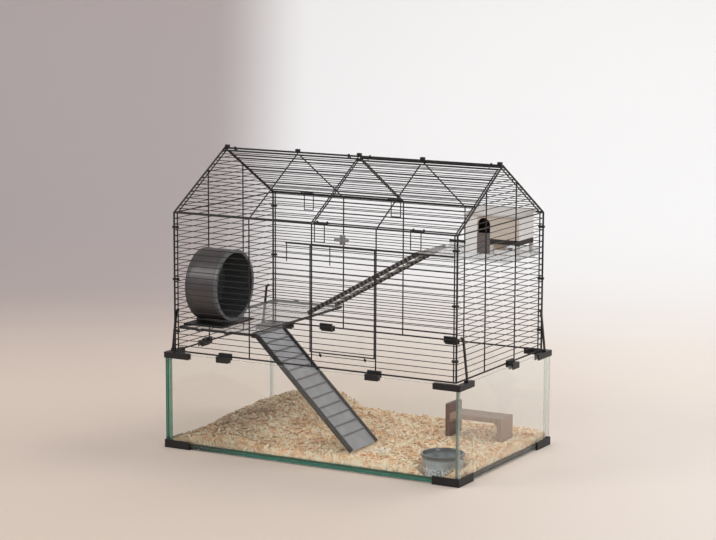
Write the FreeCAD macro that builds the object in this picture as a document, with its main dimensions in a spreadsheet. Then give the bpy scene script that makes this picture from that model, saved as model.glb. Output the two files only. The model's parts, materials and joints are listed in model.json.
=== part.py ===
"""Hamster cage: a glass base with a lift-off wire house, roof lids, door, wheel, ramps and shelves.

Millimetres. +X runs along the long side, +Y from the front long side to the back one, +Z up.
The origin is the bottom centre of the glass base, on the surface that it stands on.
"""
import FreeCAD
import Part
import Sketcher
import math
import os

doc = FreeCAD.newDocument("hamster_cage")
sheet = doc.addObject("Spreadsheet::Sheet", "Sizes")

SIZES = {
    # Glass base
    "tank_length": 600, "tank_width": 370, "tank_height": 176, "glass_thick": 5,
    "seam_leg": 4, "seam_gap": 0.5,
    # Corner feet under the glass and rim caps on top of it
    "foot_arm_long": 53, "foot_arm_wide": 57, "foot_height": 15, "foot_wall": 2,
    "foot_floor": 1.5, "foot_lip": 12,
    "cap_arm_long": 53, "cap_arm_wide": 57, "cap_height": 11, "cap_wall": 2, "cap_gap": 0.15,
    # Wire house
    "house_inset": 13, "rail_rise": 3, "wall_rise": 254, "ridge_rise": 102,
    "bar_gaps": 24, "roof_gaps": 18, "bar_radius": 0.7, "post_radius": 1.2,
    "rail_radius": 1.5, "corner_radius": 1.7, "ridge_radius": 1.7, "weld": 0.3,
    "panel_gap": 0.2, "end_post_inset": 6, "mid_post": 129, "gable_post": 60,
    "half_gap": 1, "top_wire_radius": 1.5, "fixed_top_wire": 8,
    # Wire eyes that turn on another wire
    "eye_wire": 0.9, "eye_gap": 0.3, "lid_eye_inset": 21, "lid_top_wire": 12, "lid_stop_gap": 0.4,
    "lid_end_gap": 1,
    # Roof latch loops
    "latch_width": 20, "latch_reach": 10, "latch_drop": 33, "latch_near": 20, "latch_far": 210,
    # Ridge knobs and corner ties
    "knob_length": 8, "knob_half_width": 3, "knob_height": 6, "tie_height": 4, "tie_wall": 0.9,
    # Front door
    "door_centre": 64.5, "door_width": 129, "door_first_bar": 3, "door_last_bar": 20,
    "door_overlap": 5, "door_lap": 1.7, "door_gap": 0.6, "door_top_radius": 1.5,
    "door_eye_spread": 45, "door_hook": 40, "stay_left": 53, "stay_hook": 51, "hook_drop": 33,
    # Door latch
    "plate_width": 10, "plate_height": 18, "plate_thick": 3, "button_length": 28, "button_width": 5,
    "button_thick": 3, "button_pin": 1.4, "button_head": 2.5, "button_boss": 0.9, "play": 0.2,
    "running_gap": 0.05,
    # Rim clips
    "clip_length": 26, "clip_drop": 7, "clip_top": 4, "clip_wall": 2, "clip_gap": 0.2,
    "seat_drop": 3, "seat_top": 9,
    "clip_front_left": 177, "clip_front_right": 129, "clip_back_left": 170, "clip_back_right": 99,
    "clip_left": 60, "clip_right": 35,
    # Side clamps
    "clamp_bar": 7, "clamp_width": 5, "clamp_thick": 2.5, "clamp_pad": 8, "clamp_pad_thick": 3,
    "clamp_near": 153, "clamp_far": 162, "clamp_rest_gap": 0.3,
    # Platform and shelf
    "shelf_margin": 5.5, "plate_sheet": 3, "skirt_depth": 5, "skirt_wall": 2.5,
    "hook_thick": 2.5, "hook_width": 8, "hook_tip": 5, "hook_spread": 30,
    "platform_bar": 4, "platform_edge": 130, "shelf_bar": 17, "shelf_edge": 100,
    "shelf_front": 30, "lip_height": 9, "lip_wall": 2,
    # Hinges of the ramp and the ladder
    "pin_radius": 2, "barrel_radius": 4, "barrel_reach": 5.5, "barrel_drop": 4.5, "lug_width": 4,
    "lug_gap": 0.5,
    # Lower ramp
    "ramp_width": 94, "ramp_near": 64, "ramp_foot_reach": 197, "ramp_foot_drop": 191,
    "ramp_board": 3, "ramp_rail_width": 4, "ramp_rail_height": 9, "ramp_rail_under": 3,
    "cleat_pitch": 22, "cleat_width": 3, "cleat_height": 1.5, "board_start": 4.5,
    # Upper ladder
    "ladder_width": 107, "ladder_near": 45, "ladder_foot_reach": 229, "ladder_foot_drop": 129,
    "ladder_rail_width": 4, "ladder_rail_height": 8, "rung_pitch": 26, "rung_radius": 1.25,
    # Running wheel
    "wheel_radius": 66, "wheel_depth": 66, "wheel_wall": 2.5, "wheel_lip": 6, "wheel_back": 271,
    "wheel_side": 97, "tread_count": 30, "tread_width": 2, "tread_height": 1.5,
    "hub_radius": 8, "hub_length": 12, "axle_radius": 3, "wheel_floor_gap": 2,
    "stand_base": 3, "stand_half_width": 55, "stand_reach": 84, "stand_thick": 4.5,
    "upright_half_width": 12, "spacer_radius": 6, "axle_cap_radius": 6.5, "axle_cap_thick": 3,
    # Shelf hut
    "hut_left": 172, "hut_width": 107, "hut_front": 88, "hut_depth": 60, "hut_height": 68,
    "hut_wall": 5, "hut_rise": 6, "hut_roof_thick": 4, "hut_overhang": 3, "hut_door_width": 26,
    "hut_door_height": 28, "hut_door_centre": 208, "hut_sill": 37, "hut_leg": 6, "hut_leg_height": 19,
    "hut_floor": 4, "hut_stand_gap": 0.1,
    # Wooden arch hide
    "hide_centre": 209.5, "hide_middle": 75.5, "hide_width": 113, "hide_depth": 49,
    "hide_height": 43, "hide_end": 60, "hide_wall": 9, "hide_corner": 10,
    # Food bowl
    "bowl_centre_long": 246, "bowl_centre_wide": 139, "bowl_height": 39, "bowl_foot_radius": 34,
    "bowl_rim_radius": 39, "bowl_wall": 3, "bowl_base": 4, "bowl_stand_gap": 0.1,
    # Bedding
    "bedding_level": 26, "bedding_heap": 64, "bedding_edge": 14, "heap_peak": 160,
    "heap_left_shoulder": 241, "heap_right_shoulder": 118, "heap_foot": 78, "shoulder_height": 44,
    "bedding_clear": 0.3, "bowl_well_gap": 1.5,
}
for row, (alias, value) in enumerate(SIZES.items(), start=1):
    sheet.set(f"A{row}", alias)
    sheet.set(f"B{row}", str(value))
    sheet.setAlias(f"B{row}", alias)
doc.recompute()


class Size:
    """A length, count or angle: the expression that the document keeps, and its value now."""

    def __init__(self, text, value):
        self.text, self.value = text, value

    def join(self, sign, other, value):
        return Size(f"({self.text} {sign} {as_size(other).text})", value)

    def __add__(self, other):
        return self.join("+", other, self.value + as_size(other).value)

    def __sub__(self, other):
        return self.join("-", other, self.value - as_size(other).value)

    def __mul__(self, other):
        return self.join("*", other, self.value * as_size(other).value)

    def __truediv__(self, other):
        return self.join("/", other, self.value / as_size(other).value)

    def __neg__(self):
        return self * -1

    def __radd__(self, other):
        return as_size(other) + self

    def __rsub__(self, other):
        return as_size(other) - self

    def __rmul__(self, other):
        return as_size(other) * self


def as_size(number):
    return number if isinstance(number, Size) else Size(f"({number})", number)


def of(alias):
    """The size that the sheet keeps under this alias."""
    return Size(f"Sizes.{alias}", float(getattr(sheet, alias)))


def root(size):
    return Size(f"sqrt({size.text})", math.sqrt(size.value))


def slant(rise, run):
    """The angle in degrees of a slope with this rise over this run."""
    ratio = as_size(rise) / run
    return Size(f"(atan({ratio.text}) / 1deg)", math.degrees(math.atan(ratio.value)))


def sine(angle):
    return Size(f"sin({angle.text} * 1deg)", math.sin(math.radians(angle.value)))


def cosine(angle):
    return Size(f"cos({angle.text} * 1deg)", math.cos(math.radians(angle.value)))


def ordered(side, near, far):
    """Lowest and highest value of a stretch that is mirrored to one side of zero."""
    return (near, far) if side > 0 else (-as_size(far), -as_size(near))


def bind(piece, name, size):
    piece.setExpression(name, as_size(size).text)


X_AXIS, Y_AXIS, Z_AXIS = (1, 0, 0), (0, 1, 0), (0, 0, 1)


def placement(x=0, y=0, z=0, axis=Z_AXIS, angle=0):
    """The expression of a place and a turn about one axis."""
    centre = "; ".join(as_size(part).text for part in (x, y, z))
    line = "; ".join(str(part) for part in axis)
    return f"placement(vector({centre}); rotation(vector({line}); {as_size(angle).text}))"


def put(piece, frame, *place, **turn):
    """Place a piece, inside a tilted frame where one is given."""
    local = placement(*place, **turn)
    piece.setExpression("Placement", f"{frame} * {local}" if frame else local)
    return piece


def fresh(kind, label):
    piece = doc.addObject(kind, label)
    piece.Label = label
    return piece


def box(label, xs, ys, zs, frame=None):
    """A block between two corners, given as three pairs."""
    piece = fresh("Part::Box", label)
    for name, (low, high) in zip(("Length", "Width", "Height"), (xs, ys, zs)):
        bind(piece, name, as_size(high) - low)
    return put(piece, frame, xs[0], ys[0], zs[0])


TURN_TO = {"x": (Y_AXIS, 90), "y": (X_AXIS, -90), "z": (Z_AXIS, 0)}


def rod(label, radius, length, along, x, y, z, frame=None):
    """A round bar from a start point along +x, +y or +z."""
    piece = fresh("Part::Cylinder", label)
    bind(piece, "Radius", radius)
    bind(piece, "Height", length)
    axis, angle = TURN_TO[along]
    return put(piece, frame, x, y, z, axis=axis, angle=angle)


def ball(label, radius, x, y, z, frame=None):
    piece = fresh("Part::Sphere", label)
    bind(piece, "Radius", radius)
    return put(piece, frame, x, y, z)


def eye(label, wire_radius, along, x, y, z, frame=None):
    """A wire eye that turns on a wire of this radius."""
    piece = fresh("Part::Torus", label)
    bind(piece, "Radius1", eye_circle(wire_radius))
    bind(piece, "Radius2", of("eye_wire"))
    axis, angle = TURN_TO[along]
    return put(piece, frame, x, y, z, axis=axis, angle=angle)


def eye_circle(wire_radius):
    return wire_radius + of("eye_gap") + of("eye_wire")


def join(label, pieces):
    piece = fresh("Part::MultiFuse", label)
    piece.Shapes = pieces
    piece.Refine = False
    return piece


def cut(label, base, tools):
    piece = fresh("Part::Cut", label)
    piece.Base = base
    piece.Tool = tools[0] if len(tools) == 1 else join(label + "_tools", tools)
    piece.Refine = False
    return piece


def new_body(label):
    body = fresh("PartDesign::Body", label)
    body.AllowCompound = True
    return body


def datum(body, role):
    return next(item for item in body.Origin.OriginFeatures if item.Role == role)


def sketch_on(body, role, name):
    sketch = body.newObject("Sketcher::SketchObject", name)
    sketch.AttachmentSupport = (datum(body, role), [""])
    sketch.MapMode = "FlatFace"
    return sketch


def hold(sketch, kind, elements, size):
    """Add a dimension to a sketch and tie it to the sheet."""
    index = sketch.addConstraint(Sketcher.Constraint(kind, *elements, size.value))
    sketch.setExpression(f"Constraints[{index}]", size.text)


def circle_sketch(body, role, name, radius):
    sketch = sketch_on(body, role, name)
    sketch.addGeometry(Part.Circle(FreeCAD.Vector(), FreeCAD.Vector(*Z_AXIS), radius.value))
    sketch.addConstraint(Sketcher.Constraint("Coincident", 0, 3, -1, 1))
    hold(sketch, "Radius", (0,), radius)
    return sketch


def outline_sketch(body, role, name, corners):
    """A closed outline through corners, each held at its place from the origin."""
    sketch = sketch_on(body, role, name)
    corners = [(as_size(across), as_size(up)) for across, up in corners]
    points = [FreeCAD.Vector(across.value, up.value, 0) for across, up in corners]
    for index, point in enumerate(points):
        sketch.addGeometry(Part.LineSegment(point, points[(index + 1) % len(points)]))
    for index in range(len(points)):
        following = (index + 1) % len(points)
        sketch.addConstraint(Sketcher.Constraint("Coincident", index, 2, following, 1))
    for index, (across, up) in enumerate(corners):
        hold(sketch, "DistanceX", (-1, 1, index, 1), across)
        hold(sketch, "DistanceY", (-1, 1, index, 1), up)
    return sketch


def pad(body, sketch, length, symmetric=False):
    feature = body.newObject("PartDesign::Pad", sketch.Name + "_pad")
    feature.Profile = sketch
    bind(feature, "Length", length)
    if symmetric:
        feature.SideType = "Symmetric"
    sketch.Visibility = False
    return feature


def turn(body, sketch, role):
    feature = body.newObject("PartDesign::Revolution", sketch.Name + "_turned")
    feature.Profile = sketch
    feature.ReferenceAxis = (datum(body, role), [""])
    feature.Angle = 360
    return feature


def row(body, feature, role, spacing, count):
    """Repeat a feature in a straight row; count includes the first."""
    pattern = body.newObject("PartDesign::LinearPattern", feature.Name + "_row")
    pattern.Originals = [feature]
    pattern.Direction = (datum(body, role), [""])
    bind(pattern, "Length", spacing * (count - 1))
    bind(pattern, "Occurrences", count)
    body.Tip = pattern
    return pattern


def bars(label, radius, length, along, spacing, count, place):
    """Parallel round bars along x or y, stacked in +z of their own frame."""
    body = new_body(label)
    plane = {"x": "YZ_Plane", "y": "XZ_Plane"}[along]
    section = circle_sketch(body, plane, label + "_section", radius)
    row(body, pad(body, section, length, symmetric=True), "Z_Axis", spacing, count)
    body.setExpression("Placement", place)
    return body


NODES = []


def keep(piece):
    NODES.append(piece)
    return piece


half_length, half_width = of("tank_length") / 2, of("tank_width") / 2
glass, foot_floor, rim = of("glass_thick"), of("foot_floor"), of("tank_height")
floor_top = foot_floor + glass
inner_length, inner_width = half_length - glass, half_width - glass
SIDE_NAMES = {-1: "left", 1: "right"}
FACE_NAMES = {-1: "front", 1: "back"}
SIDES = (-1, 1)
CORNERS = [(side, face) for side in SIDES for face in SIDES]


def make_glass():
    heights = (foot_floor, rim)
    floor_zs = (foot_floor, floor_top)
    keep(box("glass_floor", (-inner_length, inner_length), (-inner_width, inner_width), floor_zs))
    for face in SIDES:
        ys = ordered(face, inner_width, half_width)
        keep(box(f"glass_{FACE_NAMES[face]}", (-half_length, half_length), ys, heights))
    for side in SIDES:
        xs = ordered(side, inner_length, half_length)
        keep(box(f"glass_{SIDE_NAMES[side]}", xs, (-inner_width, inner_width), heights))


def make_seams():
    leg = of("seam_leg")
    zs = (floor_top, floor_top + leg)
    outer = box("seam_outer", (-inner_length, inner_length), (-inner_width, inner_width), zs)
    inside_xs = (leg - inner_length, inner_length - leg)
    inner = box("seam_inner", inside_xs, (leg - inner_width, inner_width - leg), zs)
    pieces = [cut("seam_ring", outer, [inner])]
    top = rim + of("cap_wall") - of("cap_height") - of("seam_gap")
    for side, face in CORNERS:
        xs = ordered(side, inner_length - leg, inner_length)
        ys = ordered(face, inner_width - leg, inner_width)
        pieces.append(box(f"seam_post_{side}_{face}", xs, ys, (floor_top, top)))
    keep(join("silicone_seams", pieces))


def corner_arms(label, side, face, arms, xs_depth, ys_depth, zs):
    """Two blocks that make an L round one corner of the glass, joined."""
    (arm_long, arm_wide, wall), (inner_x, inner_y) = arms, (xs_depth, ys_depth)
    outer_x, outer_y = half_length + wall, half_width + wall
    long_xs = ordered(side, outer_x - arm_long, outer_x)
    long_arm = box(label + "_long", long_xs, ordered(face, inner_y, outer_y), zs)
    wide_ys = ordered(face, outer_y - arm_wide, outer_y)
    wide_arm = box(label + "_wide", ordered(side, inner_x, outer_x), wide_ys, zs)
    return join(label, [long_arm, wide_arm])


def make_feet():
    wall, lip = of("foot_wall"), of("foot_lip")
    arms = (of("foot_arm_long"), of("foot_arm_wide"), wall)
    for side, face in CORNERS:
        name = f"foot_{FACE_NAMES[face]}_{SIDE_NAMES[side]}"
        plate = corner_arms(name + "_plate", side, face, arms, half_length - lip,
                            half_width - lip, (0, foot_floor))
        upright = corner_arms(name + "_wall", side, face, arms, half_length, half_width,
                              (0, of("foot_height")))
        keep(join(name, [plate, upright]))


def make_rim_caps():
    wall, gap = of("cap_wall"), of("cap_gap")
    arms = (of("cap_arm_long"), of("cap_arm_wide"), wall)
    top = rim + wall
    bottom = top - of("cap_height")
    depth = glass + gap
    for side, face in CORNERS:
        name = f"cap_{FACE_NAMES[face]}_{SIDE_NAMES[side]}"
        outer = corner_arms(name + "_outer", side, face, arms, half_length - depth - wall,
                            half_width - depth - wall, (bottom, top))
        slot_zs = (bottom, rim)
        xs = (-half_length, half_length)
        long_slot = box(name + "_long_slot", xs, ordered(face, half_width - depth, half_width), slot_zs)
        ys = (-half_width, half_width)
        wide_slot = box(name + "_wide_slot", ordered(side, half_length - depth, half_length), ys, slot_zs)
        keep(cut(name, outer, [long_slot, wide_slot]))


bar, post, rail, corner = of("bar_radius"), of("post_radius"), of("rail_radius"), of("corner_radius")
house_x, house_y = half_length - of("house_inset"), half_width - of("house_inset")
rail_z = rim + of("rail_rise")
eave_z = rail_z + of("wall_rise")
ridge_z = eave_z + of("ridge_rise")
pitch = of("wall_rise") / of("bar_gaps")
inward = bar + post - of("weld")
roof_angle = slant(of("ridge_rise"), house_y)
roof_sine, roof_cosine = sine(roof_angle), cosine(roof_angle)
roof_length = root(house_y * house_y + of("ridge_rise") * of("ridge_rise"))
wall_length = house_x - corner - of("panel_gap")
end_post = house_x - of("end_post_inset")


def bar_height(index):
    return rail_z + pitch * index


def wall_pieces(face):
    """The bars, rails and posts of one long wall, before any opening is cut."""
    name, y = f"wall_{FACE_NAMES[face]}", house_y * face
    rows = of("bar_gaps") - 1
    place = placement(0, y, rail_z + pitch)
    pieces = [bars(name + "_bars", bar, wall_length * 2, "x", pitch, rows, place)]
    for level, z in (("bottom", rail_z), ("eave", eave_z)):
        pieces.append(rod(f"{name}_{level}", rail, wall_length * 2, "x", -wall_length, y, z))
    post_y = (house_y - inward) * face
    middle = of("mid_post")
    for index, x in enumerate((-end_post, -middle, as_size(0), middle, end_post)):
        pieces.append(rod(f"{name}_post_{index}", post, eave_z - rail_z, "z", x, post_y, rail_z))
    return pieces


door_left = of("door_centre") - of("door_width") / 2
door_right = of("door_centre") + of("door_width") / 2
opening_left, opening_right = door_left + of("door_lap"), door_right - of("door_lap")
opening_bottom = bar_height(of("door_first_bar"))
opening_top = bar_height(of("door_last_bar"))


def make_walls():
    keep(join("wall_back", wall_pieces(1)))
    solid = join("wall_front_whole", wall_pieces(-1))
    reach = rail * 4
    hole = box("wall_front_hole", (opening_left, opening_right), (-house_y - reach, reach - house_y),
               (opening_bottom + bar / 2, opening_top - bar / 2))
    opened = cut("wall_front_opened", solid, [hole])
    stay_y, stay_z = inward - house_y, opening_top + of("door_overlap")
    drop, wire = of("hook_drop"), of("eye_wire")
    stay = rod("wall_front_stay", rail, end_post + of("stay_left"), "x", -of("stay_left"), stay_y, stay_z)
    tail = rod("wall_front_hook", wire, drop, "z", -of("stay_hook"), stay_y, stay_z - drop)
    keep(join("wall_front", [opened, stay, tail]))


def roof_place(face, down, x=0, outward=0):
    """The frame of a roof slope: its +z runs down the slope and its +x along the ridge."""
    down, outward = as_size(down), as_size(outward)
    y = (down * roof_cosine + outward * roof_sine) * face
    z = ridge_z - down * roof_sine + outward * roof_cosine
    return placement(x, y, z, axis=X_AXIS, angle=(roof_angle + 90) * -face)


def make_gables():
    rise = of("wall_rise") + of("ridge_rise")
    for side in SIDES:
        name, x = f"gable_{SIDE_NAMES[side]}", house_x * side
        rows = Size(f"floor({((rise - corner) / pitch).text})",
                    math.floor(((rise - corner) / pitch).value))
        place = placement(x, 0, rail_z + pitch)
        field = bars(name + "_bars", bar, house_y * 2, "y", pitch, rows, place)
        reach = roof_length * 2
        lids = [box(f"{name}_above_{FACE_NAMES[face]}", (-reach, reach),
                    ordered(-face, as_size(0), reach), (-reach, reach), roof_place(face, 0))
                for face in SIDES]
        pieces = [cut(name + "_field", field, lids)]
        pieces.append(rod(name + "_bottom", rail, house_y * 2, "y", x, -house_y, rail_z))
        pieces.append(rod(name + "_eave", post, house_y * 2, "y", x, -house_y, eave_z))
        for face in SIDES:
            y, tag = house_y * face, FACE_NAMES[face]
            pieces.append(rod(f"{name}_corner_{tag}", corner, eave_z - rail_z, "z", x, y, rail_z))
            pieces.append(ball(f"{name}_shoulder_{tag}", corner, x, y, eave_z))
            rafter = fresh("Part::Cylinder", f"{name}_rafter_{tag}")
            bind(rafter, "Radius", corner)
            bind(rafter, "Height", roof_length)
            rafter.setExpression("Placement", roof_place(face, 0, x=x))
            pieces.append(rafter)
            post_top = ridge_z - of("gable_post") * of("ridge_rise") / house_y
            pieces.append(rod(f"{name}_post_{tag}", post, post_top - rail_z, "z",
                              (house_x - inward) * side, of("gable_post") * face, rail_z))
        pieces.append(ball(name + "_peak", corner, x, 0, ridge_z))
        keep(join(name, pieces))


def slope_panel(name, face, start, end, rafters, top, bottom, rafter_top):
    """One roof panel between two x places: bars, edge wires and the rafters under them."""
    length = end - start
    middle = (start + end) / 2
    spacing = (bottom - top) / of("roof_gaps")
    rows = of("roof_gaps") - 1
    pieces = [bars(name + "_bars", bar, length, "x", spacing, rows,
                   roof_place(face, top + spacing, x=middle))]
    for tag, down, radius in (("top", top, of("top_wire_radius")), ("bottom", bottom, post)):
        pieces.append(rod(f"{name}_{tag}", radius, length, "x", -length / 2, 0, 0,
                          roof_place(face, down, x=middle)))
    for index, x in enumerate(rafters):
        pieces.append(rod(f"{name}_rafter_{index}", post, bottom - rafter_top, "z", 0, 0, 0,
                          roof_place(face, rafter_top, x=x, outward=-inward)))
    return pieces


lid_top = of("lid_top_wire")
lid_bottom = roof_length - rail - eye_circle(post) - of("eye_wire") - of("lid_stop_gap")


def make_roof():
    """Each slope is half fixed and half lid; the back slope is the front one turned round."""
    ridge_length = (house_x - corner) * 2
    keep(rod("ridge_rail", of("ridge_radius"), ridge_length, "x", -ridge_length / 2, 0, ridge_z))
    gap, edge = of("half_gap"), wall_length
    lid_edge = edge - of("lid_end_gap")
    fixed_top, under = of("fixed_top_wire"), inward - post
    fixed_start = root(of("ridge_radius") * of("ridge_radius") - under * under)
    fixed_bottom = roof_length - rail - post
    outer, middle = end_post, of("mid_post")
    for face in SIDES:
        fixed_side = -1 if face < 0 else 1
        fixed_span, lid_span = ordered(fixed_side, gap, edge), ordered(-fixed_side, gap, lid_edge)
        stations = (gap + post, middle, outer)
        fixed_rafters = [x * fixed_side for x in stations]
        lid_rafters = [x * -fixed_side for x in stations]
        tag = FACE_NAMES[face]
        name = f"roof_panel_{tag}"
        keep(join(name, slope_panel(name, face, *fixed_span, fixed_rafters, fixed_top,
                                    fixed_bottom, fixed_start)))
        name = f"roof_lid_{tag}"
        pieces = slope_panel(name, face, *lid_span, lid_rafters, lid_top, lid_bottom, lid_top)
        ring = eye_circle(of("ridge_radius"))
        low, high = (x * -fixed_side for x in (gap + of("lid_eye_inset"), edge - of("lid_eye_inset")))
        for index, x in enumerate((low, high)):
            pieces.append(eye(f"{name}_eye_{index}", of("ridge_radius"), "x", x, 0, ridge_z))
            pieces.append(rod(f"{name}_stub_{index}", of("eye_wire"), lid_top - ring, "z", 0, 0, 0,
                              roof_place(face, ring, x=x)))
        keep(join(name, pieces))


def make_ridge_knobs():
    groove = rod("knob_groove", of("ridge_radius"), house_x * 2, "x", -house_x, 0, ridge_z)
    half, wide = of("knob_length") / 2, of("knob_half_width")
    outer = house_x - corner - half
    blocks = [box(f"knob_{index}", (x - half, x + half), (-wide, wide),
                  (ridge_z, ridge_z + of("knob_height")))
              for index, x in enumerate((-outer, -of("mid_post"), as_size(0), of("mid_post"), outer))]
    keep(cut("ridge_knobs", join("knob_blocks", blocks), [groove]))


def make_corner_ties():
    """Small blocks that hold each wall's end post to the gable's corner post."""
    wall, half = of("tie_wall"), of("tie_height") / 2
    rows = (as_size(3.5), of("bar_gaps") / 2 + 0.5, of("bar_gaps") - 2.5)
    blocks, posts = [], []
    for side, face in CORNERS:
        tag = f"{SIDE_NAMES[side]}_{FACE_NAMES[face]}"
        xs = ordered(side, end_post - post - wall, house_x + corner + wall)
        ys = ordered(face, house_y - inward - post - wall, house_y + corner + wall)
        for index, level in enumerate(rows):
            z = bar_height(level)
            blocks.append(box(f"tie_{tag}_{index}", xs, ys, (z - half, z + half)))
        height = eave_z - rail_z
        posts.append(rod(f"tie_bore_{tag}", corner, height, "z", house_x * side, house_y * face, rail_z))
        posts.append(rod(f"tie_seat_{tag}", post, height, "z", end_post * side,
                         (house_y - inward) * face, rail_z))
    keep(cut("corner_ties", join("tie_blocks", blocks), posts))


def make_latches():
    """A wire loop on the lid's lower wire: two eyes, two arms over the eave and a closed frame."""
    wire, half = of("eye_wire"), of("latch_width") / 2
    ring = eye_circle(post)
    for face in SIDES:
        pivot_y, pivot_z = lid_bottom * roof_cosine, ridge_z - lid_bottom * roof_sine
        out_y, low_z = pivot_y + of("latch_reach"), pivot_z - of("latch_drop")
        for near_or_far in ("near", "far"):
            centre = of(f"latch_{near_or_far}") * -face
            name = f"latch_{FACE_NAMES[face]}_{near_or_far}"
            pieces = []
            for side in SIDES:
                x, tag = centre + half * side, f"{name}_{SIDE_NAMES[side]}"
                pieces.append(eye(tag + "_eye", post, "x", x, pivot_y * face, pivot_z))
                arm_y = ordered(face, pivot_y + ring, out_y)[0]
                pieces.append(rod(tag + "_arm", wire, out_y - pivot_y - ring, "y", x, arm_y, pivot_z))
                pieces.append(rod(tag + "_leg", wire, pivot_z - low_z, "z", x, out_y * face, low_z))
                pieces.append(ball(tag + "_top_ball", wire, x, out_y * face, pivot_z))
                pieces.append(ball(tag + "_low_ball", wire, x, out_y * face, low_z))
            for tag, z in (("top", pivot_z), ("low", low_z)):
                pieces.append(rod(f"{name}_{tag}", wire, half * 2, "x", centre - half,
                                  out_y * face, z))
            keep(join(name, pieces))


door_plane = house_y + bar * 2 + of("door_gap")
door_low, door_high = opening_bottom - of("door_overlap"), opening_top + of("door_overlap")
hinge_bar_z = bar_height(of("door_first_bar") - 1)


def make_door():
    width, rows = of("door_width"), of("door_last_bar") - of("door_first_bar") + 1
    place = placement(of("door_centre"), -door_plane, opening_bottom)
    pieces = [bars("door_bars", bar, width, "x", pitch, rows, place)]
    top_radius = of("door_top_radius")
    for tag, radius, z in (("bottom", post, door_low), ("top", top_radius, door_high)):
        pieces.append(rod(f"door_{tag}", radius, width, "x", door_left, -door_plane, z))
    post_y = -(door_plane + inward)
    for index, x in enumerate((door_left, door_right)):
        pieces.append(rod(f"door_post_{index}", post, door_high - door_low, "z", x, post_y, door_low))
    ring_y, wire, drop = -(house_y + eye_circle(bar)), of("eye_wire"), of("hook_drop")
    pieces.append(rod("door_hook_wire", wire, drop, "z", of("door_hook"), -(door_plane + inward),
                      door_high - drop))
    for side in SIDES:
        x = of("door_centre") + of("door_eye_spread") * side
        pieces.append(eye(f"door_eye_{side}", bar, "x", x, -house_y, hinge_bar_z))
        pieces.append(rod(f"door_arm_{side}", wire, ring_y - post_y, "y", x, post_y, hinge_bar_z))
        pieces.append(ball(f"door_bend_{side}", wire, x, post_y, hinge_bar_z))
        pieces.append(rod(f"door_leg_{side}", wire, door_low - hinge_bar_z, "z", x, post_y, hinge_bar_z))
    keep(join("front_door", pieces))


button_z = bar_height(of("door_last_bar") + 1.75)
plate_back = house_y + bar
plate_front = plate_back + of("plate_thick")
button_back = plate_front + of("button_boss")
button_front = button_back + of("button_thick")


def make_door_latch():
    centre, pin, play = of("door_centre"), of("button_pin"), of("play")
    half_wide, half_high = of("plate_width") / 2, of("plate_height") / 2
    plate = box("latch_plate_sheet", (centre - half_wide, centre + half_wide),
                (-plate_front, -plate_back), (button_z - half_high, button_z + half_high))
    head_back = button_front + play
    head_front = head_back + of("button_boss")
    boss_front = button_back - play
    boss = rod("latch_boss", of("button_head"), boss_front - plate_front, "y", centre,
               -boss_front, button_z)
    stem = rod("latch_stem", pin, head_front - plate_front, "y", centre, -head_front, button_z)
    head = rod("latch_head", of("button_head"), head_front - head_back, "y", centre,
               -head_front, button_z)
    keep(join("door_latch_plate", [plate, boss, stem, head]))
    half = of("button_length") / 2
    tongue = box("button_tongue", (centre - half, centre + half), (-button_front, -button_back),
                 (button_z - of("button_width") / 2, button_z + of("button_width") / 2))
    bore = rod("button_bore", pin + of("running_gap"), of("button_thick") * 3, "y", centre,
               -button_front - of("button_thick"), button_z)
    keep(cut("door_turn_button", tongue, [bore]))


def rim_clip(name, along, side, place):
    """A saddle over the glass edge with a seat for the bottom rail, on a long or a short side."""
    glass_out = half_width if along == "x" else half_length
    rail_line = house_y if along == "x" else house_x
    gap, wall, half = of("clip_gap"), of("clip_wall"), of("clip_length") / 2
    stretch = (place - half, place + half)

    def block(tag, depths, zs):
        across = ordered(side, *depths)
        xs, ys = (stretch, across) if along == "x" else (across, stretch)
        return box(f"{name}_{tag}", xs, ys, zs)

    inner = glass_out - glass - gap - wall
    saddle = block("saddle", (inner, glass_out + gap + wall),
                   (rim - of("clip_drop"), rim + of("clip_top")))
    seat = block("seat", (rail_line, inner), (rim - of("seat_drop"), rim + of("seat_top")))
    slot_depths = (glass_out - glass - gap, glass_out + gap)
    slot = block("slot", slot_depths, (rim - of("clip_drop"), rim + gap))
    if along == "x":
        groove = rod(name + "_groove", rail, half * 2, "x", place - half, rail_line * side, rail_z)
    else:
        groove = rod(name + "_groove", rail, half * 2, "y", rail_line * side, place - half, rail_z)
    keep(cut(name, join(name + "_whole", [saddle, seat]), [slot, groove]))


def make_rim_clips():
    for face in SIDES:
        tag = FACE_NAMES[face]
        rim_clip(f"rim_clip_{tag}_left", "x", face, -of(f"clip_{tag}_left"))
        rim_clip(f"rim_clip_{tag}_right", "x", face, of(f"clip_{tag}_right"))
    rim_clip("rim_clip_left", "y", -1, -of("clip_left"))
    rim_clip("rim_clip_right", "y", 1, of("clip_right"))


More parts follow.
